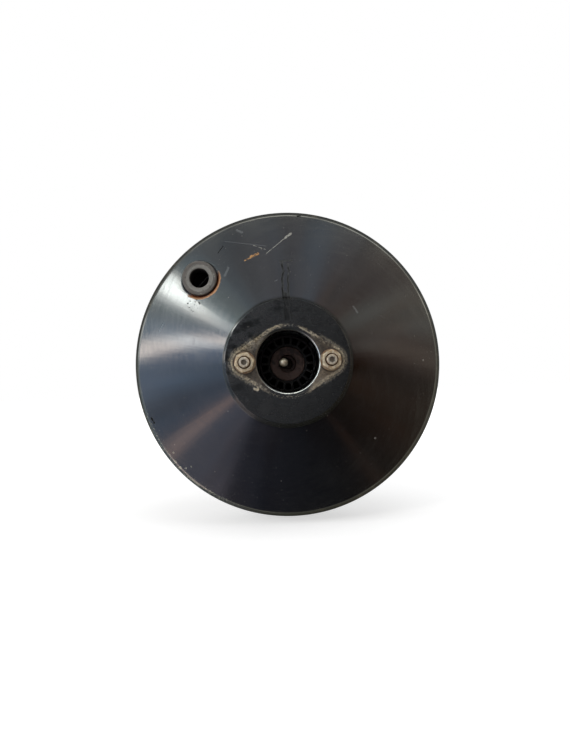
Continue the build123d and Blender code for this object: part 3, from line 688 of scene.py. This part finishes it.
    # The hub's wall stands edge on to the light, and mirrors less than the cone.
    hub_wall = n.times(n.ramp(n.station, 102, 103.5), n.ramp(n.r, 44.6, 45.3),
                       n.ramp(n.r, 52, 50), n.ramp(n.x, -36, -20))
    # Soot and grease take the gloss away: as a dark metal they mirror almost nothing.
    return n.finish(Base_Color=colour, IOR=1.52,
                    Roughness=n.between(dull, n.plus(n.times(film, 0.05), gloss), 0.8),
                    Metallic=n.most(lip_wear_and_highlight, n.times(n.most(stain, grease), 0.85)),
                    Specular_IOR_Level=n.ramp(hub_wall, 0, 1, 0.62, 0.14))


# ---------------- other materials

def rusty_zinc():
    """Zinc plated nuts under cream dust, darker towards their foot, with rust round the stud and
    painted shade on their side flats.
    """
    n = Nodes("rusty_zinc")
    patches = n.ramp(n.noise(3.6, 5, 0.65, seed=2), 0.38, 0.66)
    pits = n.ramp(n.noise(1.1, 4, seed=4), 0.54, 0.70)
    shine = n.ramp(n.noise(2, 4, seed=6), 0.48, 0.62)
    # Darker towards the foot of the nut.
    foot = n.times(n.ramp(n.station, 127.5, 126.4), n.ramp(patches, 0, 1, 0.7, 1))
    # Painted shade: the flats round the side, turned away from the front, are painted browner than
    # the face.
    normal = n.add("ShaderNodeNewGeometry").outputs["Normal"]
    facing = n.add("ShaderNodeSeparateXYZ", Vector=normal).outputs["Y"]
    colour = n.layered(
        n.mix(patches, (0.60, 0.50, 0.35), (0.36, 0.25, 0.145)),
        (n.times(pits, 0.5), (0.16, 0.09, 0.045)),
        (n.times(shine, 0.5), (0.68, 0.62, 0.50)),
        (foot, (0.17, 0.095, 0.05)),
        (n.ramp(facing, -0.45, -0.15, 0, 0.65), (0.13, 0.075, 0.04)),
        (n.times(n.ramp(n.stud_r(), 4.9, 4.4), 0.92), (0.06, 0.028, 0.014)))
    n.bump(n.plus(n.noise(0.7, 4, seed=7), n.times(pits, 0.5)), 0.08)
    return n.finish(Base_Color=colour, Metallic=0.3, Roughness=n.ramp(patches, 0, 1, 0.34, 0.7))


def clouded(n, cloud, tone, one, two, grain, depth, *layers, rough=None, **rest):
    """A colour that drifts between two with a cloud, under layers, with a fine grain."""
    if rough:
        rest["Roughness"] = n.ramp(cloud, 0.3, 0.7, *rough)
    n.bump(grain, depth)
    share = n.ramp(cloud, *tone) if tone else cloud
    return n.finish(Base_Color=n.layered(n.mix(share, one, two), *layers), **rest)


def stud_steel():
    """A stud's grey, worn end, with painted shade in its recess, and its thread brown with rust."""
    n = Nodes("stud_steel")
    r, recess = n.stud_r(), n.ramp(n.y, -134.6, -133.8)
    return clouded(n, n.noise(1.8, 5, seed=3), (0.35, 0.65), (0.58, 0.52, 0.43),
                   (0.33, 0.27, 0.20), n.noise(0.6, 4, seed=7), 0.05,
                   # Painted shade in the socket at the stud's end.
                   (n.times(recess, n.ramp(r, 3.2, 2.6), 0.75), (0.12, 0.09, 0.065)),
                   (n.ramp(r, 3.5, 3.8), (0.11, 0.055, 0.03)), rough=(0.3, 0.55), Metallic=0.45)


def plated_steel():
    """Yellowish zinc plate, a little dusty."""
    n = Nodes("plated_steel")
    grime = n.ramp(n.noise(3, 5, seed=5), 0.55, 0.75)
    return clouded(n, n.noise(9, 5, seed=3), (0.35, 0.7), (0.50, 0.47, 0.38), (0.36, 0.31, 0.22),
                   n.noise(0.9, 4, seed=9), 0.04, (n.times(grime, 0.7), (0.13, 0.09, 0.05)),
                   rough=(0.3, 0.55), Metallic=0.8)


def bare_steel(name="bare_steel", light=(0.42, 0.42, 0.43), dark=(0.28, 0.27, 0.27), rough=0.35):
    """Plain pressed steel with faint rolling marks."""
    n = Nodes(name)
    cloud = n.noise(11, 4, seed=1)
    lines = n.noise(1, 3, stretch=(0.08, 0.5, 2.2), seed=2)
    colour = n.mix(n.ramp(cloud, 0.3, 0.7), light, dark)
    n.bump(lines, 0.02)
    return n.finish(Base_Color=colour, Metallic=0.9,
                    Roughness=n.ramp(n.plus(cloud, n.times(lines, 0.5)), 0.4, 1.1,
                                     rough, rough + 0.2))


def grey_rubber():
    """Aged grommet rubber, grey and scuffed on its face, with painted shade in its bore."""
    n = Nodes("grey_rubber")
    r = n.polar(PORT)[0]
    face = n.ramp(n.station, 91.5, 93.6)
    scuffed = n.most(*(
        n.ramp(n.vector("DISTANCE", n.place, (PORT[0] + x, -94, PORT[1] + z)), reach, 1)
        for x, z, reach in ((1, -10.5, 5), (9.5, 2, 5), (5, 9, 4))))
    scuffs = n.ramp(n.noise(1.6, 5, 0.7, seed=4), 0.55, 0.68)
    dirt = n.ramp(n.noise(2.2, 5, seed=6), 0.58, 0.68)
    rusty = n.times(n.ramp(n.station, 92.5, 88), n.ramp(r, 12.4, 13.2),
                    n.ramp(n.noise(4, seed=8), 0.35, 0.6))
    colour = n.layered(
        n.mix(n.noise(5, 4, seed=2), (0.092, 0.082, 0.073), (0.135, 0.121, 0.108)),
        (n.times(n.ramp(r, 11.2, 10.4), face, 0.8), (0.235, 0.226, 0.208)),
        (n.times(scuffs, scuffed, face), (0.52, 0.50, 0.45)),
        (n.times(dirt, 0.6), (0.03, 0.025, 0.02)),
        # Painted shade: the grommet's bore near black.
        (n.ramp(r, 7.9, 7.4), (0.006, 0.006, 0.006)),
        (rusty, (0.20, 0.06, 0.02)))
    n.bump(n.noise(0.8, 5, seed=7), 0.06)
    return n.finish(Base_Color=colour, Roughness=0.62, Specular_IOR_Level=0.4)


def black_rubber():
    """Matt moulded rubber with a dusty bloom."""
    n = Nodes("black_rubber")
    return clouded(n, n.noise(14, 4, seed=1), (0.35, 0.75), (0.012, 0.012, 0.013),
                   (0.035, 0.034, 0.032), n.noise(0.9, 4, seed=2), 0.05, rough=(0.55, 0.75),
                   Specular_IOR_Level=0.4)


def black_plastic():
    """Glass filled plastic, dark brown-black with oily dust on its ribs."""
    n = Nodes("black_plastic")
    fibre = n.noise(1, 4, stretch=(2.5, 0.6, 2.5), seed=2)
    dust = n.ramp(n.noise(4, 5, seed=3), 0.42, 0.70)
    return clouded(n, fibre, None, (0.006, 0.005, 0.0045), (0.012, 0.010, 0.009), fibre, 0.05,
                   (n.times(dust, 0.55), (0.032, 0.024, 0.018)), rough=(0.42, 0.62),
                   Specular_IOR_Level=0.3)


def white_plastic():
    """Plain moulded nylon."""
    n = Nodes("white_plastic")
    return clouded(n, n.noise(6, 3, seed=1), None, (0.66, 0.64, 0.57), (0.55, 0.52, 0.45),
                   n.noise(1, 3, seed=2), 0.03, Roughness=0.5)


def oxidised_steel():
    """The reaction piston's brown, mottled face, painted lighter towards the bottom as a highlight.
    """
    n = Nodes("oxidised_steel")
    mottle = n.noise(6, 5, 0.62, seed=5)
    fine = n.noise(1.6, 5, seed=6)
    # Painted highlight: the mottling lighter towards the bottom.
    mottle_lit_below = n.plus(mottle, n.ramp(n.z, 6, -11, 0, 0.16))
    colour = n.mix(n.ramp(mottle_lit_below, 0.38, 0.66), (0.055, 0.030, 0.024), (0.23, 0.145, 0.12))
    pits = n.ramp(fine, 0.60, 0.70)
    colour = n.mix(n.times(pits, 0.8), colour, (0.018, 0.012, 0.010))
    n.bump(n.plus(fine, n.times(mottle, 0.5)), 0.08)
    return n.finish(Base_Color=colour, Metallic=0.25,
                    Roughness=n.ramp(mottle, 0.3, 0.7, 0.42, 0.65))


def worn_steel():
    """The output rod: bright worn steel, darker behind its tip."""
    n = Nodes("worn_steel")
    return clouded(n, n.noise(2.6, 5, seed=1), (0.35, 0.65), (0.72, 0.66, 0.52),
                   (0.38, 0.30, 0.20), n.noise(0.8, 4, seed=2), 0.05,
                   (n.ramp(n.y, -107.2, -106), (0.035, 0.024, 0.018)), rough=(0.28, 0.5),
                   Metallic=0.55)


def felt():
    """Compressed filter felt."""
    n = Nodes("felt")
    fibre = n.noise(1.1, 6, 0.7, seed=1)
    return clouded(n, fibre, None, (0.42, 0.38, 0.30), (0.62, 0.58, 0.50), fibre, 0.25,
                   Roughness=0.95)


material = {
    "black_paint": black_paint(),
    "zinc_fastener": rusty_zinc(),
    "stud_steel": stud_steel(),
    "plated_steel": plated_steel(),
    "bare_steel": bare_steel(),
    "spring_steel": bare_steel("spring_steel", (0.20, 0.20, 0.21), (0.12, 0.12, 0.12), 0.3),
    "rod_steel": worn_steel(),
    "oxidised_steel": oxidised_steel(),
    "black_plastic": black_plastic(),
    "white_plastic": white_plastic(),
    "grommet_rubber": grey_rubber(),
    "black_rubber": black_rubber(),
    "filter_felt": felt(),
}
slot_of = {part["node"]: part["material_slot"] for part in frame["record"]["subparts"]}
body_of = {}
for body, members in frame["record"]["behaviour"]["bodies"].items():
    for member in members:
        body_of[member] = body


def dress(piece, node, look=None):
    """Gives a piece its material, and lets it stand for a CAD node, which it hides."""
    piece.data.materials.clear()
    piece.data.materials.append(material[look or slot_of[node]])
    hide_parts(node)
    return piece


def rigid(piece, node, look=None):
    dress(piece, node, look)
    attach(piece, body_of[node])
    return piece


# CAD nodes that stay keep their shape and take the same materials.
for node, thing in frame["nodes"].items():
    thing.data.materials.clear()
    thing.data.materials.append(material[slot_of[node]])

# ---------------- front shell

cone_skin = [
    (22.5, 114, 0.4), (22.5, HUB_FACE, 1.9), (45.2, HUB_FACE, 0.5), (49.3, 103, 0.9),
    (123.2, 80, 6.8), (123.2, 48, 1), (128, 48, 1.8), (128, 38.8, 0.3),
]
shell = lathe("shell_front", sheet(cone_skin), 12, 320)

under_cone = turned("under_cone", [(0, 70), (122.2, 70), (122.2, 80), (49.3, 102.6), (0, 102.6)],
                    segments=320)


def plug(name, r, back, front):
    return turned(name, [(0, back), (r, back), (r, front), (0, front)], PORT, 96)


cup = plug("cup", DIMPLE_R + GAUGE, 81.8, 110)
carve(cup, under_cone, "INTERSECT")
carve(shell, plug("clearing", DIMPLE_R + GAUGE / 2, 60, 120))
carve(shell, cup, "UNION")
carve(shell, plug("recess", DIMPLE_R, 83.4, 120))
carve(shell, plug("neck_hole", 10.6, 60, 100))


def on_dimple_rim(place):
    gap = math.hypot(place.x - PORT[0], place.z - PORT[1])
    return abs(gap - DIMPLE_R) < 0.05 and -place.y > 83.6


soften(shell, 1.2, on_dimple_rim, steps=4, angle=12)

tab_corners = [
    (128, 42, 0), (128, 38.8, 1.9), (120.6, 38.8, 0.5), (120.6, 40.4, 0.5),
    (126.4, 40.4, 0.4), (126.4, 42, 0)]
tab_count, tab_half = 12, 10 / 126
tab_angles = [TURN * i / tab_count for i in range(tab_count)]
tabs = [lathe(f"tab_{i}", tab_corners, 5, 8, sweep=(a - tab_half, a + tab_half))
        for i, a in enumerate(tab_angles)]
shell = joined("shell_front", [shell] + tabs)
rigid(shell, "front_shell")

# ---------------- rear shell and its studs

rear_skin = [
    (126.2, 40.4, 0.3), (118, 40.4, 1.2), (118, 24, 6), (62, 0, 6),
    (25, 0, 3), (25, -24, 0.4),
]
rear = lathe("shell_rear", sheet(rear_skin), 8, 288)
rigid(rear, "rear_shell")

rear_studs = []
for i, (x, z) in enumerate(REAR_STUDS):
    shank = lathe(f"shank_{i}", [(0, 1.6, 0), (4.6, 1.6, 0), (4.6, -0.6, 0.4), (3.9, -0.9, 0.3),
                                 (3.9, -5, 0), (0, -5, 0)], 3, 48, (x, z))
    rear_studs += [shank, thread(f"thread_{i}", 4, -25, -4.5, (x, z))]
rigid(joined("studs_firewall", rear_studs), "firewall_studs", "plated_steel")

# ---------------- master cylinder studs and nuts

studs, nuts = [], []
for side, turn in ((-1, math.radians(14)), (1, math.radians(90))):
    centre = (side * STUD_X, 0)
    stud = thread(f"stud_{side}", 4, 122.4, 135, centre)
    carve(stud, prism("socket", polygon(6, 3.8, turn), 132.2, 136, centre))
    studs.append(stud)
    body = prism("nut_body", polygon(6, 13, turn), HUB_FACE + 0.4, 132, centre)
    dome = lathe("dome", [(0, 120, 0), (9, 120, 0), (9, 129.6, 0), (6.3, 132, 0.5),
                          (0, 132, 0)], 4, 72, centre)
    carve(body, dome, "INTERSECT")
    soften(body, 0.35, steps=2, angle=25)
    flange = lathe("nut_flange", [(4.1, 124, 0), (7.9, 124, 0.4), (7.9, 125.1, 0.5),
                                  (6.9, 126.4, 0.6), (4.1, 126.4, 0)], 4, 72, centre)
    carve(body, flange, "UNION")
    hole = turned("nut_hole", [(0, 120), (4.05, 120), (4.05, 131.2), (4.9, 132.1), (0, 132.1)],
                  centre, 64)
    nuts.append(carve(body, hole))
rigid(joined("studs_master_cylinder", studs), "master_cylinder_studs", "stud_steel")
rigid(joined("nuts_master_cylinder", nuts), "master_cylinder_nuts")

# ---------------- grommet

grommet_corners = [
    (7.5, 76.8, 0.8), (12.4, 76.8, 1.2), (10.5, 81.8, 0.3), (10.5, 83.5, 0.2),
    (12.9, 83.5, 0.5), (13.4, 86, 2), (13.4, 94.3, 0.8), (10.6, 94.3, 0.6),
    (10.2, 93.9, 0.4), (8.2, 93.9, 0.6), (7.5, 93.2, 0.5),
]
rigid(lathe("grommet", grommet_corners, 5, 128, PORT), "vacuum_grommet")

# ---------------- valve body and reaction parts

valve_corners = [
    (16, -68, 0.5), (20, -68, 0.8), (20, 4, 0.5), (31, 4, 0.6),
    (31, 6, 0.4), (27.5, 6, 0.3), (27.5, 10, 0.3), (44, 10, 0.8),
    (44, 14, 0.8), (23, 14, 0.8), (23, 76, 0.5), (14, 76, 0.5),
    (14, 56, 0.3), (6, 56, 0), (6, -2.8, 0), (16, -2.8, 0),
]
valve = lathe("valve_body_moulding", valve_corners, 3, 144)
# The pockets between its ribs, open to the front.
rib_count, rib_half = 18, 1
spread = TURN / rib_count / 2
for i in range(rib_count):
    middle = TURN * (i + 0.5) / rib_count
    wall = []
    for r, first in ((16.2, 1), (21.2, -1)):
        reach = spread - rib_half / r
        for k in range(5):
            a = middle + first * reach * (k / 2 - 1)
            wall.append((r * math.cos(a), r * math.sin(a)))
    cutter = prism("pocket", wall, 20, 80)
    soften(cutter, 0.5, lambda p: True, steps=2, angle=50)
    carve(valve, cutter)
soften(valve, 0.25, lambda p: -p.y > 75.9, steps=2, angle=40)
rigid(valve, "valve_body")

piston = lathe("reaction_piston_disc", [
    (0, 62, 0), (13.9, 62, 0.4), (13.9, 75.5, 0.7), (6.8, 75.5, 0.8), (6.8, 66.5, 0.4),
    (0, 66.5, 0)], 5, 128)
rigid(piston, "reaction_piston")

rod = lathe("output_rod_bar", [
    (0, 66.7, 0), (2, 66.7, 0.5), (4.5, 69.2, 1), (4.5, 100.8, 1.5), (3.2, 105.5, 1),
    (3.2, 107.2, 0.2), (3.02, 108, 0.2), (2.6, 108.8, 0.2), (1.9, 109.5, 0.3),
    (1, 109.92, 0.3), (0, 110, 0)], 4, 64)
lean = (Matrix.Translation((0, -ROD_PIVOT * MM, 0)) @ Matrix.Rotation(-ROD_LEAN, 4, "Z")
        @ Matrix.Translation((0, ROD_PIVOT * MM, 0)))
rod.data.transform(lean)
rigid(rod, "output_rod")

# ---------------- boot, rod and clevis

boot_gauge, fold_start, fold_pitch = 1.5, -12, 11.5
folds = []
for fold in range(4):
    peak = fold_start - (fold + 0.5) * fold_pitch
    folds += [(34, peak, 1.6), (28, peak - fold_pitch / 2, 1.2)]
boot_skin = [(25, -4, 0.3), (26.4, -4, 0.6), (26.4, -12, 1)] + folds
inner_folds = [(r - boot_gauge, s, size) for r, s, size in folds][::-1]
boot_corners = (
    boot_skin + [(21.4, -61, 1.2), (21.4, -69.4, 0.9), (12, -69.4, 0.6), (12, -68, 0.4),
                 (20, -68, 0.3), (20, -61.6, 0.6)] + inner_folds
    + [(25.2, -11, 0.4), (25, -10.6, 0)])
boot = lathe("boot", boot_corners, 5, 160)
dress(boot, "dust_boot")
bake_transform(boot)

thread_rod = thread("rod_thread", 5, -113, -88, pitch=1.5, depth=0.85, segments=72)
shank = lathe("rod_shank", [(0, 12, 0), (4, 12, 0), (4, -20, 0.5), (4.95, -25, 0.5),
                            (4.95, -89, 0.6), (0, -89, 0)], 4, 72)
half_circle = [math.pi * i / 24 for i in range(25)]
ball = turned("rod_ball", [(BALL_R * math.sin(a), BALL_STATION - BALL_R * math.cos(a))
                           for a in half_circle], segments=64)
rigid(joined("input_rod_bar", [thread_rod, shank, ball]), "input_rod", "plated_steel")

lock = prism("lock_nut_body", polygon(6, 17), -102, -96)
carve(lock, lathe("lock_dome", [
    (0, -102, 0), (8.6, -102, 0.2), (9.9, -101.2, 0.2), (9.9, -96.8, 0.2), (8.6, -96, 0.2),
    (0, -96, 0)], 2, 96), "INTERSECT")
carve(lock, turned("lock_hole", [(0, -110), (4.8, -110), (4.8, -90), (0, -90)], segments=72))
rigid(lock, "lock_nut", "plated_steel")

ARM_R, EYE_Y = 9.5, 125
arch = [(102, -ARM_R)]
arch += [(EYE_Y + ARM_R * math.sin(a), -ARM_R * math.cos(a)) for a in half_circle]
arch += [(102, ARM_R)]
fork = plate("clevis_fork", arch, 11)
carve(fork, plate("fork_gap", [(114, -20), (150, -20), (150, 20), (114, 20)], 5.5))
eye = turned("eye", [(0, -20), (5, -20), (5, 20), (0, 20)], segments=96)
eye.data.transform(Matrix.Translation((0, EYE_Y * MM, 0)) @ Matrix.Rotation(math.pi / 2, 4, "Z"))
carve(fork, eye)
carve(fork, turned("fork_bore", [(0, -116), (5.02, -116), (5.02, -100), (0, -100)], segments=96))
soften(fork, 0.8, steps=3, angle=40)
rigid(fork, "clevis", "plated_steel")

# ---------------- soft inner pieces

def copy_of(node, name):
    """A free copy of a CAD node's mesh, as a new object."""
    return placed(name, frame["nodes"][node].data.copy())


coil_turns, coil_r, wire_r = 4, 37, 1.8
spring_back, spring_front = 15.4 + wire_r, 118.2 - wire_r
path_steps, ring_steps = 240, 14
vertices, faces = [], []
for i in range(path_steps + 1):
    t = i / path_steps
    a = TURN * coil_turns * t
    along = spring_back + (spring_front - spring_back) * t
    for k in range(ring_steps):
        b = TURN * k / ring_steps
        r = coil_r + wire_r * math.cos(b)
        vertices.append((r * math.cos(a) * MM, -(along + wire_r * math.sin(b)) * MM,
                         r * math.sin(a) * MM))
for i in range(path_steps):
    for k in range(ring_steps):
        j = (k + 1) % ring_steps
        faces.append((i * ring_steps + k, i * ring_steps + j,
                      (i + 1) * ring_steps + j, (i + 1) * ring_steps + k))
faces.append(tuple(range(ring_steps))[::-1])
faces.append(tuple(range(path_steps * ring_steps, (path_steps + 1) * ring_steps)))
spring = make_object("spring_return", vertices, faces)
dress(spring, "return_spring")
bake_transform(spring)

membrane = copy_of("diaphragm", "diaphragm_membrane")
dress(membrane, "diaphragm")
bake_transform(membrane)

inner_spring = copy_of("rod_return_spring", "spring_rod_return")
dress(inner_spring, "rod_return_spring")
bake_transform(inner_spring)

# The rubber disc, which the plunger's nose presses into at the end of its stroke, is a copy with a
# mesh of its own.
disc = copy_of("reaction_disc", "reaction_disc_rubber")
rigid(disc, "reaction_disc")
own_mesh(disc)

# The felt's hole widens to the rear, so that the rod can tilt in it.
felt_front, felt_back = (-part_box("air_filter")[k][1] / MM for k in (0, 1))
felt_r, felt_rounding, tilt_slope = 15.95, 0.5, 0.0524
felt_hole = [5.3 + tilt_slope * (BALL_STATION - s) for s in (felt_front, felt_back)]
felt_section = [(felt_hole[0], felt_front), (felt_r, felt_front), (felt_r, felt_back),
                (felt_hole[1], felt_back)]
filter_ring = lathe("air_filter_felt", [(r, s, felt_rounding) for r, s in felt_section], 3, 96)
rigid(filter_ring, "air_filter")

# ---------------- floor and background

edge = 5
floor_z = cad_box[0][2] - 0.0005
floor = surface("floor", [(-edge, -edge, floor_z), (edge, -edge, floor_z), (edge, edge, floor_z),
                          (-edge, edge, floor_z)], [(0, 1, 2, 3)])
floor.visible_glossy = False

# The floor is matt, and glows to the rays that show it, more so away from the object.
pale = bpy.data.materials.new("floor_pale")
pale.use_nodes = True
floor.data.materials.append(pale)
g = Graph(pale.node_tree, "ShaderNodeOutputMaterial")
away = g.vector("LENGTH", g.add("ShaderNodeNewGeometry").outputs["Position"])
glow = g.times(g.direct(), g.ramp(away, 0.15, 0.65, 0.60, 1))
matt = g.add("ShaderNodeBsdfDiffuse", Color=(0.80, 0.80, 0.80))
light = g.add("ShaderNodeEmission", Color=(1, 1, 1), Strength=glow)
g.show(g.fill(g.add("ShaderNodeAddShader"), matt.outputs[0], light.outputs[0]))

# The background is white where it is seen, and lights the object less.
world = bpy.data.worlds.new("studio")
bpy.context.scene.world = world
world.use_nodes = True
g = Graph(world.node_tree, "ShaderNodeOutputWorld")
soft = g.add("ShaderNodeBackground", Strength=0.55)
white = g.add("ShaderNodeBackground", Color=(1, 1, 1), Strength=1)
g.show(g.fill(g.add("ShaderNodeMixShader"), g.direct(), soft.outputs[0], white.outputs[0]))

# ---------------- lamps and what the paint mirrors

TARGET = Vector((0, -0.085, 0))
# What the cone mirrors, by azimuth in degrees. These stops and streaks were set by
# comparing how bright the render and the photo are at each azimuth.
WALLS = [
    (-180, (1.2, 1.6, 2.2)), (180, (1.2, 1.6, 2.2)), (-172, (0.82, 1.07, 1.45)),
    (-160, (0.75, 0.9, 1.2)), (-136, (0.8, 0.86, 1.1)), (-123, (0.72, 0.72, 0.90)),
    (-118, (0.24, 0.24, 0.32)), (-100, (0.13, 0.13, 0.17)), (-80, (0.08, 0.08, 0.10)),
    (-60, (0.06, 0.05, 0.05)), (-46, (0.10, 0.07, 0.05)), (-33, (0.16, 0.10, 0.07)),
    (-28, (0.23, 0.14, 0.09)), (-3, (0.27, 0.18, 0.13)), (2, (0.42, 0.31, 0.26)),
    (14, (0.60, 0.47, 0.41)), (23, (0.95, 0.88, 0.78)), (36, (1, 0.92, 0.80)),
    (41, (0.74, 0.58, 0.51)), (60, (0.78, 0.67, 0.63)), (63, (0.70, 0.70, 0.77)),
    (70, (0.86, 0.96, 1.10)), (92, (0.78, 0.84, 0.95)), (114, (0.96, 1.08, 1.20)),
    (125, (1.2, 1.45, 1.6)), (138, (1.7, 2.1, 2.1)), (147, (1.7, 2.15, 2.3)),
    (159, (1.75, 2.35, 3.1)), (172, (1.35, 1.8, 2.5)),
]
# Azimuth, lean, half width, fade, level near the axis and away from it, and colour.
STREAKS = [
    (163.2, 1.2, 2, 3.5, 1, 1.1, (9.2, 8.7, 7.8)),
    (149.5, 0, 2, 4.6, 0, 0.9, (6.6, 6.8, 6.4)),
    (-145.8, 0.3, 1.6, 3, 0.6, 0.9, (1.85, 1.2, 0.85)),
    (-55, 0, 1, 3, 0.5, 1, (0.11, 0.06, 0.04)),
    (10, -1.3, 2.5, 3, 0, 1, (0.45, 0.42, 0.35)),
    (31, -0.6, 4, 5, -0.3, 0.3, (0.4, 0.4, 0.36)),
    (14, 0, 18, 14, -0.9, 0, (0.42, 0.38, 0.34)),
]


def off_axis(azimuth, angle, distance):
    """A point in front of the object, at an angle from its axis, turned about it from +X."""
    azimuth, angle = math.radians(azimuth), math.radians(angle)
    return TARGET + distance * Vector((math.sin(angle) * math.cos(azimuth), -math.cos(angle),
                                       math.sin(angle) * math.sin(azimuth)))


def lamp(name, azimuth, angle, distance, width, height, radiance, colour):
    """A softbox facing the object, with its X axis along the azimuth."""
    light = bpy.data.lights.new(name, "AREA")
    light.shape = "RECTANGLE"
    light.size, light.size_y = width, height
    light.energy = radiance * math.pi * width * height
    light.color = colour
    thing = placed(name, light)
    thing.visible_glossy = False
    place = off_axis(azimuth, angle, distance)
    back = (place - TARGET).normalized()
    out = Vector((place.x + 1e-6, 0, place.z)).normalized()
    across = Vector((0, 1, 0)).cross(out)
    across = (across - back * across.dot(back)).normalized()
    turn = Matrix((across, back.cross(across), back)).transposed().to_4x4()
    thing.matrix_world = Matrix.Translation(place) @ turn


def room_look(name):
    """A dim room round the axis, the walls that the cone mirrors, by azimuth, with bright and
    warm streaks between them, and a pale surround."""
    n = Nodes(name)
    # The camera stands below the axis, so what it sees mirrored lies a little higher.
    turn = n.math("ARCTAN2", n.minus(n.z, 110), n.x)
    azimuth = n.math("DEGREES", turn)
    ahead = n.minus(TARGET.y / MM, n.y)
    tilt = n.minus(n.math("DEGREES", n.math("ARCTAN2", n.r, ahead)), 45.5)

    def beside(centre, half, fade, slope=0):
        """1 within an angle of an azimuth, which may lean with the tilt."""
        place = n.minus(n.minus(azimuth, centre), n.times(tilt, slope))
        off = n.absolute(n.math("WRAP", place, 180, -180))
        return n.ramp(off, half, half + fade, 1, 0)

    # The walls lean with the angle, as seen from a camera a little to one side.
    skew = n.times(n.cosine(turn), tilt, 1.25)
    share = n.math("FRACT", n.math("DIVIDE", n.plus(azimuth, skew, 540), 360))
    walls = n.add("ShaderNodeValToRGB", Fac=share)
    marks = walls.color_ramp.elements
    for i, (degrees, shade) in enumerate(WALLS):
        at = (degrees + 180) / 360
        mark = marks[i] if i < 2 else marks.new(at)
        mark.position = at
        mark.color = (*shade, 1)
    colour = walls.outputs[0]
    for centre, slope, half, fade, inner, outer, light in STREAKS:
        level = n.times(beside(centre, half, fade, slope), n.ramp(tilt, -3.5, 3, inner, outer))
        colour = n.lit(colour, light, level)
    # The window shines brightest in the outermost part of the cone.
    window = n.times(n.ramp(n.absolute(n.minus(azimuth, 146.5)), 2.5, 6, 1, 0),
                     n.ramp(tilt, 4.2, 8.2))
    colour = n.lit(colour, (17.4, 17.4, 16.2), window)
    # The walls are mottled, as any room is.
    tint = n.mix(n.ramp(n.noise(260, 2, seed=61), 0.38, 0.62), (0.94, 1, 1.05), (1.07, 0.98, 0.94))
    spoke = n.point(n.times(n.cosine(turn), 7), n.times(n.math("SINE", turn), 7),
                    n.math("DIVIDE", tilt, 22))
    mottle = n.ramp(n.noise(1, 4, 0.6, place=spoke, seed=60), 0.30, 0.70, 0.80, 1.20)
    colour = n.vector("SCALE", n.vector("MULTIPLY", colour, tint), scale=mottle)
    # Far to the side they go on, dimmer, past a pale band that the rolled rim catches.
    surround = n.vector("SCALE", walls.outputs[0], scale=n.ramp(tilt, 20, 70, 0.55, 0.10))
    surround = n.lit(surround, (0.40, 0.40, 0.29), n.ramp(tilt, 25, 80, 1, 0.25))
    band = n.times(n.ramp(tilt, 13, 16), n.ramp(tilt, 28, 23),
                   n.ramp(n.cosine(turn, -1.2), 0.1, 0.9, 0.22, 1),
                   n.ramp(n.noise(360, 2, seed=62), 0.38, 0.62, 0.35, 1.5))
    surround = n.lit(surround, (2.9, 2.85, 2.5), band)
    for centre, half, light in ((170, 7, (3.4, 3.4, 3.3)), (-134, 10, (2.6, 2, 1.8))):
        level = n.times(beside(centre, half, 3), n.ramp(tilt, 12, 15), n.ramp(tilt, 38, 30))
        surround = n.lit(surround, light, level)
    slant = n.minus(n.x, n.times(n.z, 0.5))
    room = n.mix(n.ramp(slant, -600, 600), (0.54, 0.55, 0.58), (0.11, 0.115, 0.115))
    colour = n.mix(n.ramp(tilt, 10, 14), colour, surround)
    colour = n.mix(n.ramp(tilt, -26, -12), room, colour)
    n.show(n.add("ShaderNodeEmission", Color=colour, Strength=1))
    return n.material


def reflector(name, reach, distance):
    """A bowl in front of the object, seen only in its reflections."""
    count, rows = 144, 46
    vertices = [off_axis(360 * i / count, 0.5 + reach * k / (rows - 1), distance)
                for i in range(count) for k in range(rows)]
    faces = []
    for i in range(count):
        for k in range(rows - 1):
            here, there = i * rows + k, (i + 1) % count * rows + k
            faces.append((here, there, there + 1, here + 1))
    thing = surface(name, vertices, faces)
    thing.data.materials.append(room_look(name))
    for kind in ("camera", "diffuse", "shadow", "transmission"):
        setattr(thing, f"visible_{kind}", False)


reflector("cards", 134, 1.6)
lamp("window", 152, 48, 1.2, 0.42, 0.22, 9, (1, 0.99, 0.95))
lamp("overhead", 80, 75, 1.6, 1.2, 0.8, 1.6, (0.97, 0.98, 1))

# ---------------- camera

camera = placed("camera", bpy.data.cameras.new("camera"))
camera.data.lens = 25.99
camera.data.sensor_width = 36
camera.data.sensor_fit = "AUTO"
camera.data.clip_start = 0.01
bpy.context.scene.camera = camera

# The camera is set by where it sees the centre of the cone's shoulder, in its own axes.
yaw, pitch, roll = math.radians(0.05), math.radians(1.2), math.radians(1.9)
shoulder, shoulder_seen = Vector((0, -0.080, 0)), Vector((0.00205, 0.00569, -0.42975))
right = Vector((1, -math.sin(yaw), 0)).normalized()
up = Vector((0, -math.sin(pitch), 1))
up = (up - right * up.dot(right)).normalized()
back = right.cross(up)
right, up = (right * math.cos(roll) - up * math.sin(roll),
             right * math.sin(roll) + up * math.cos(roll))
turn = Matrix((right, up, back)).transposed()
camera.matrix_world = Matrix.Translation(shoulder - turn @ shoulder_seen) @ turn.to_4x4()

bpy.context.scene.view_settings.view_transform = "Standard"
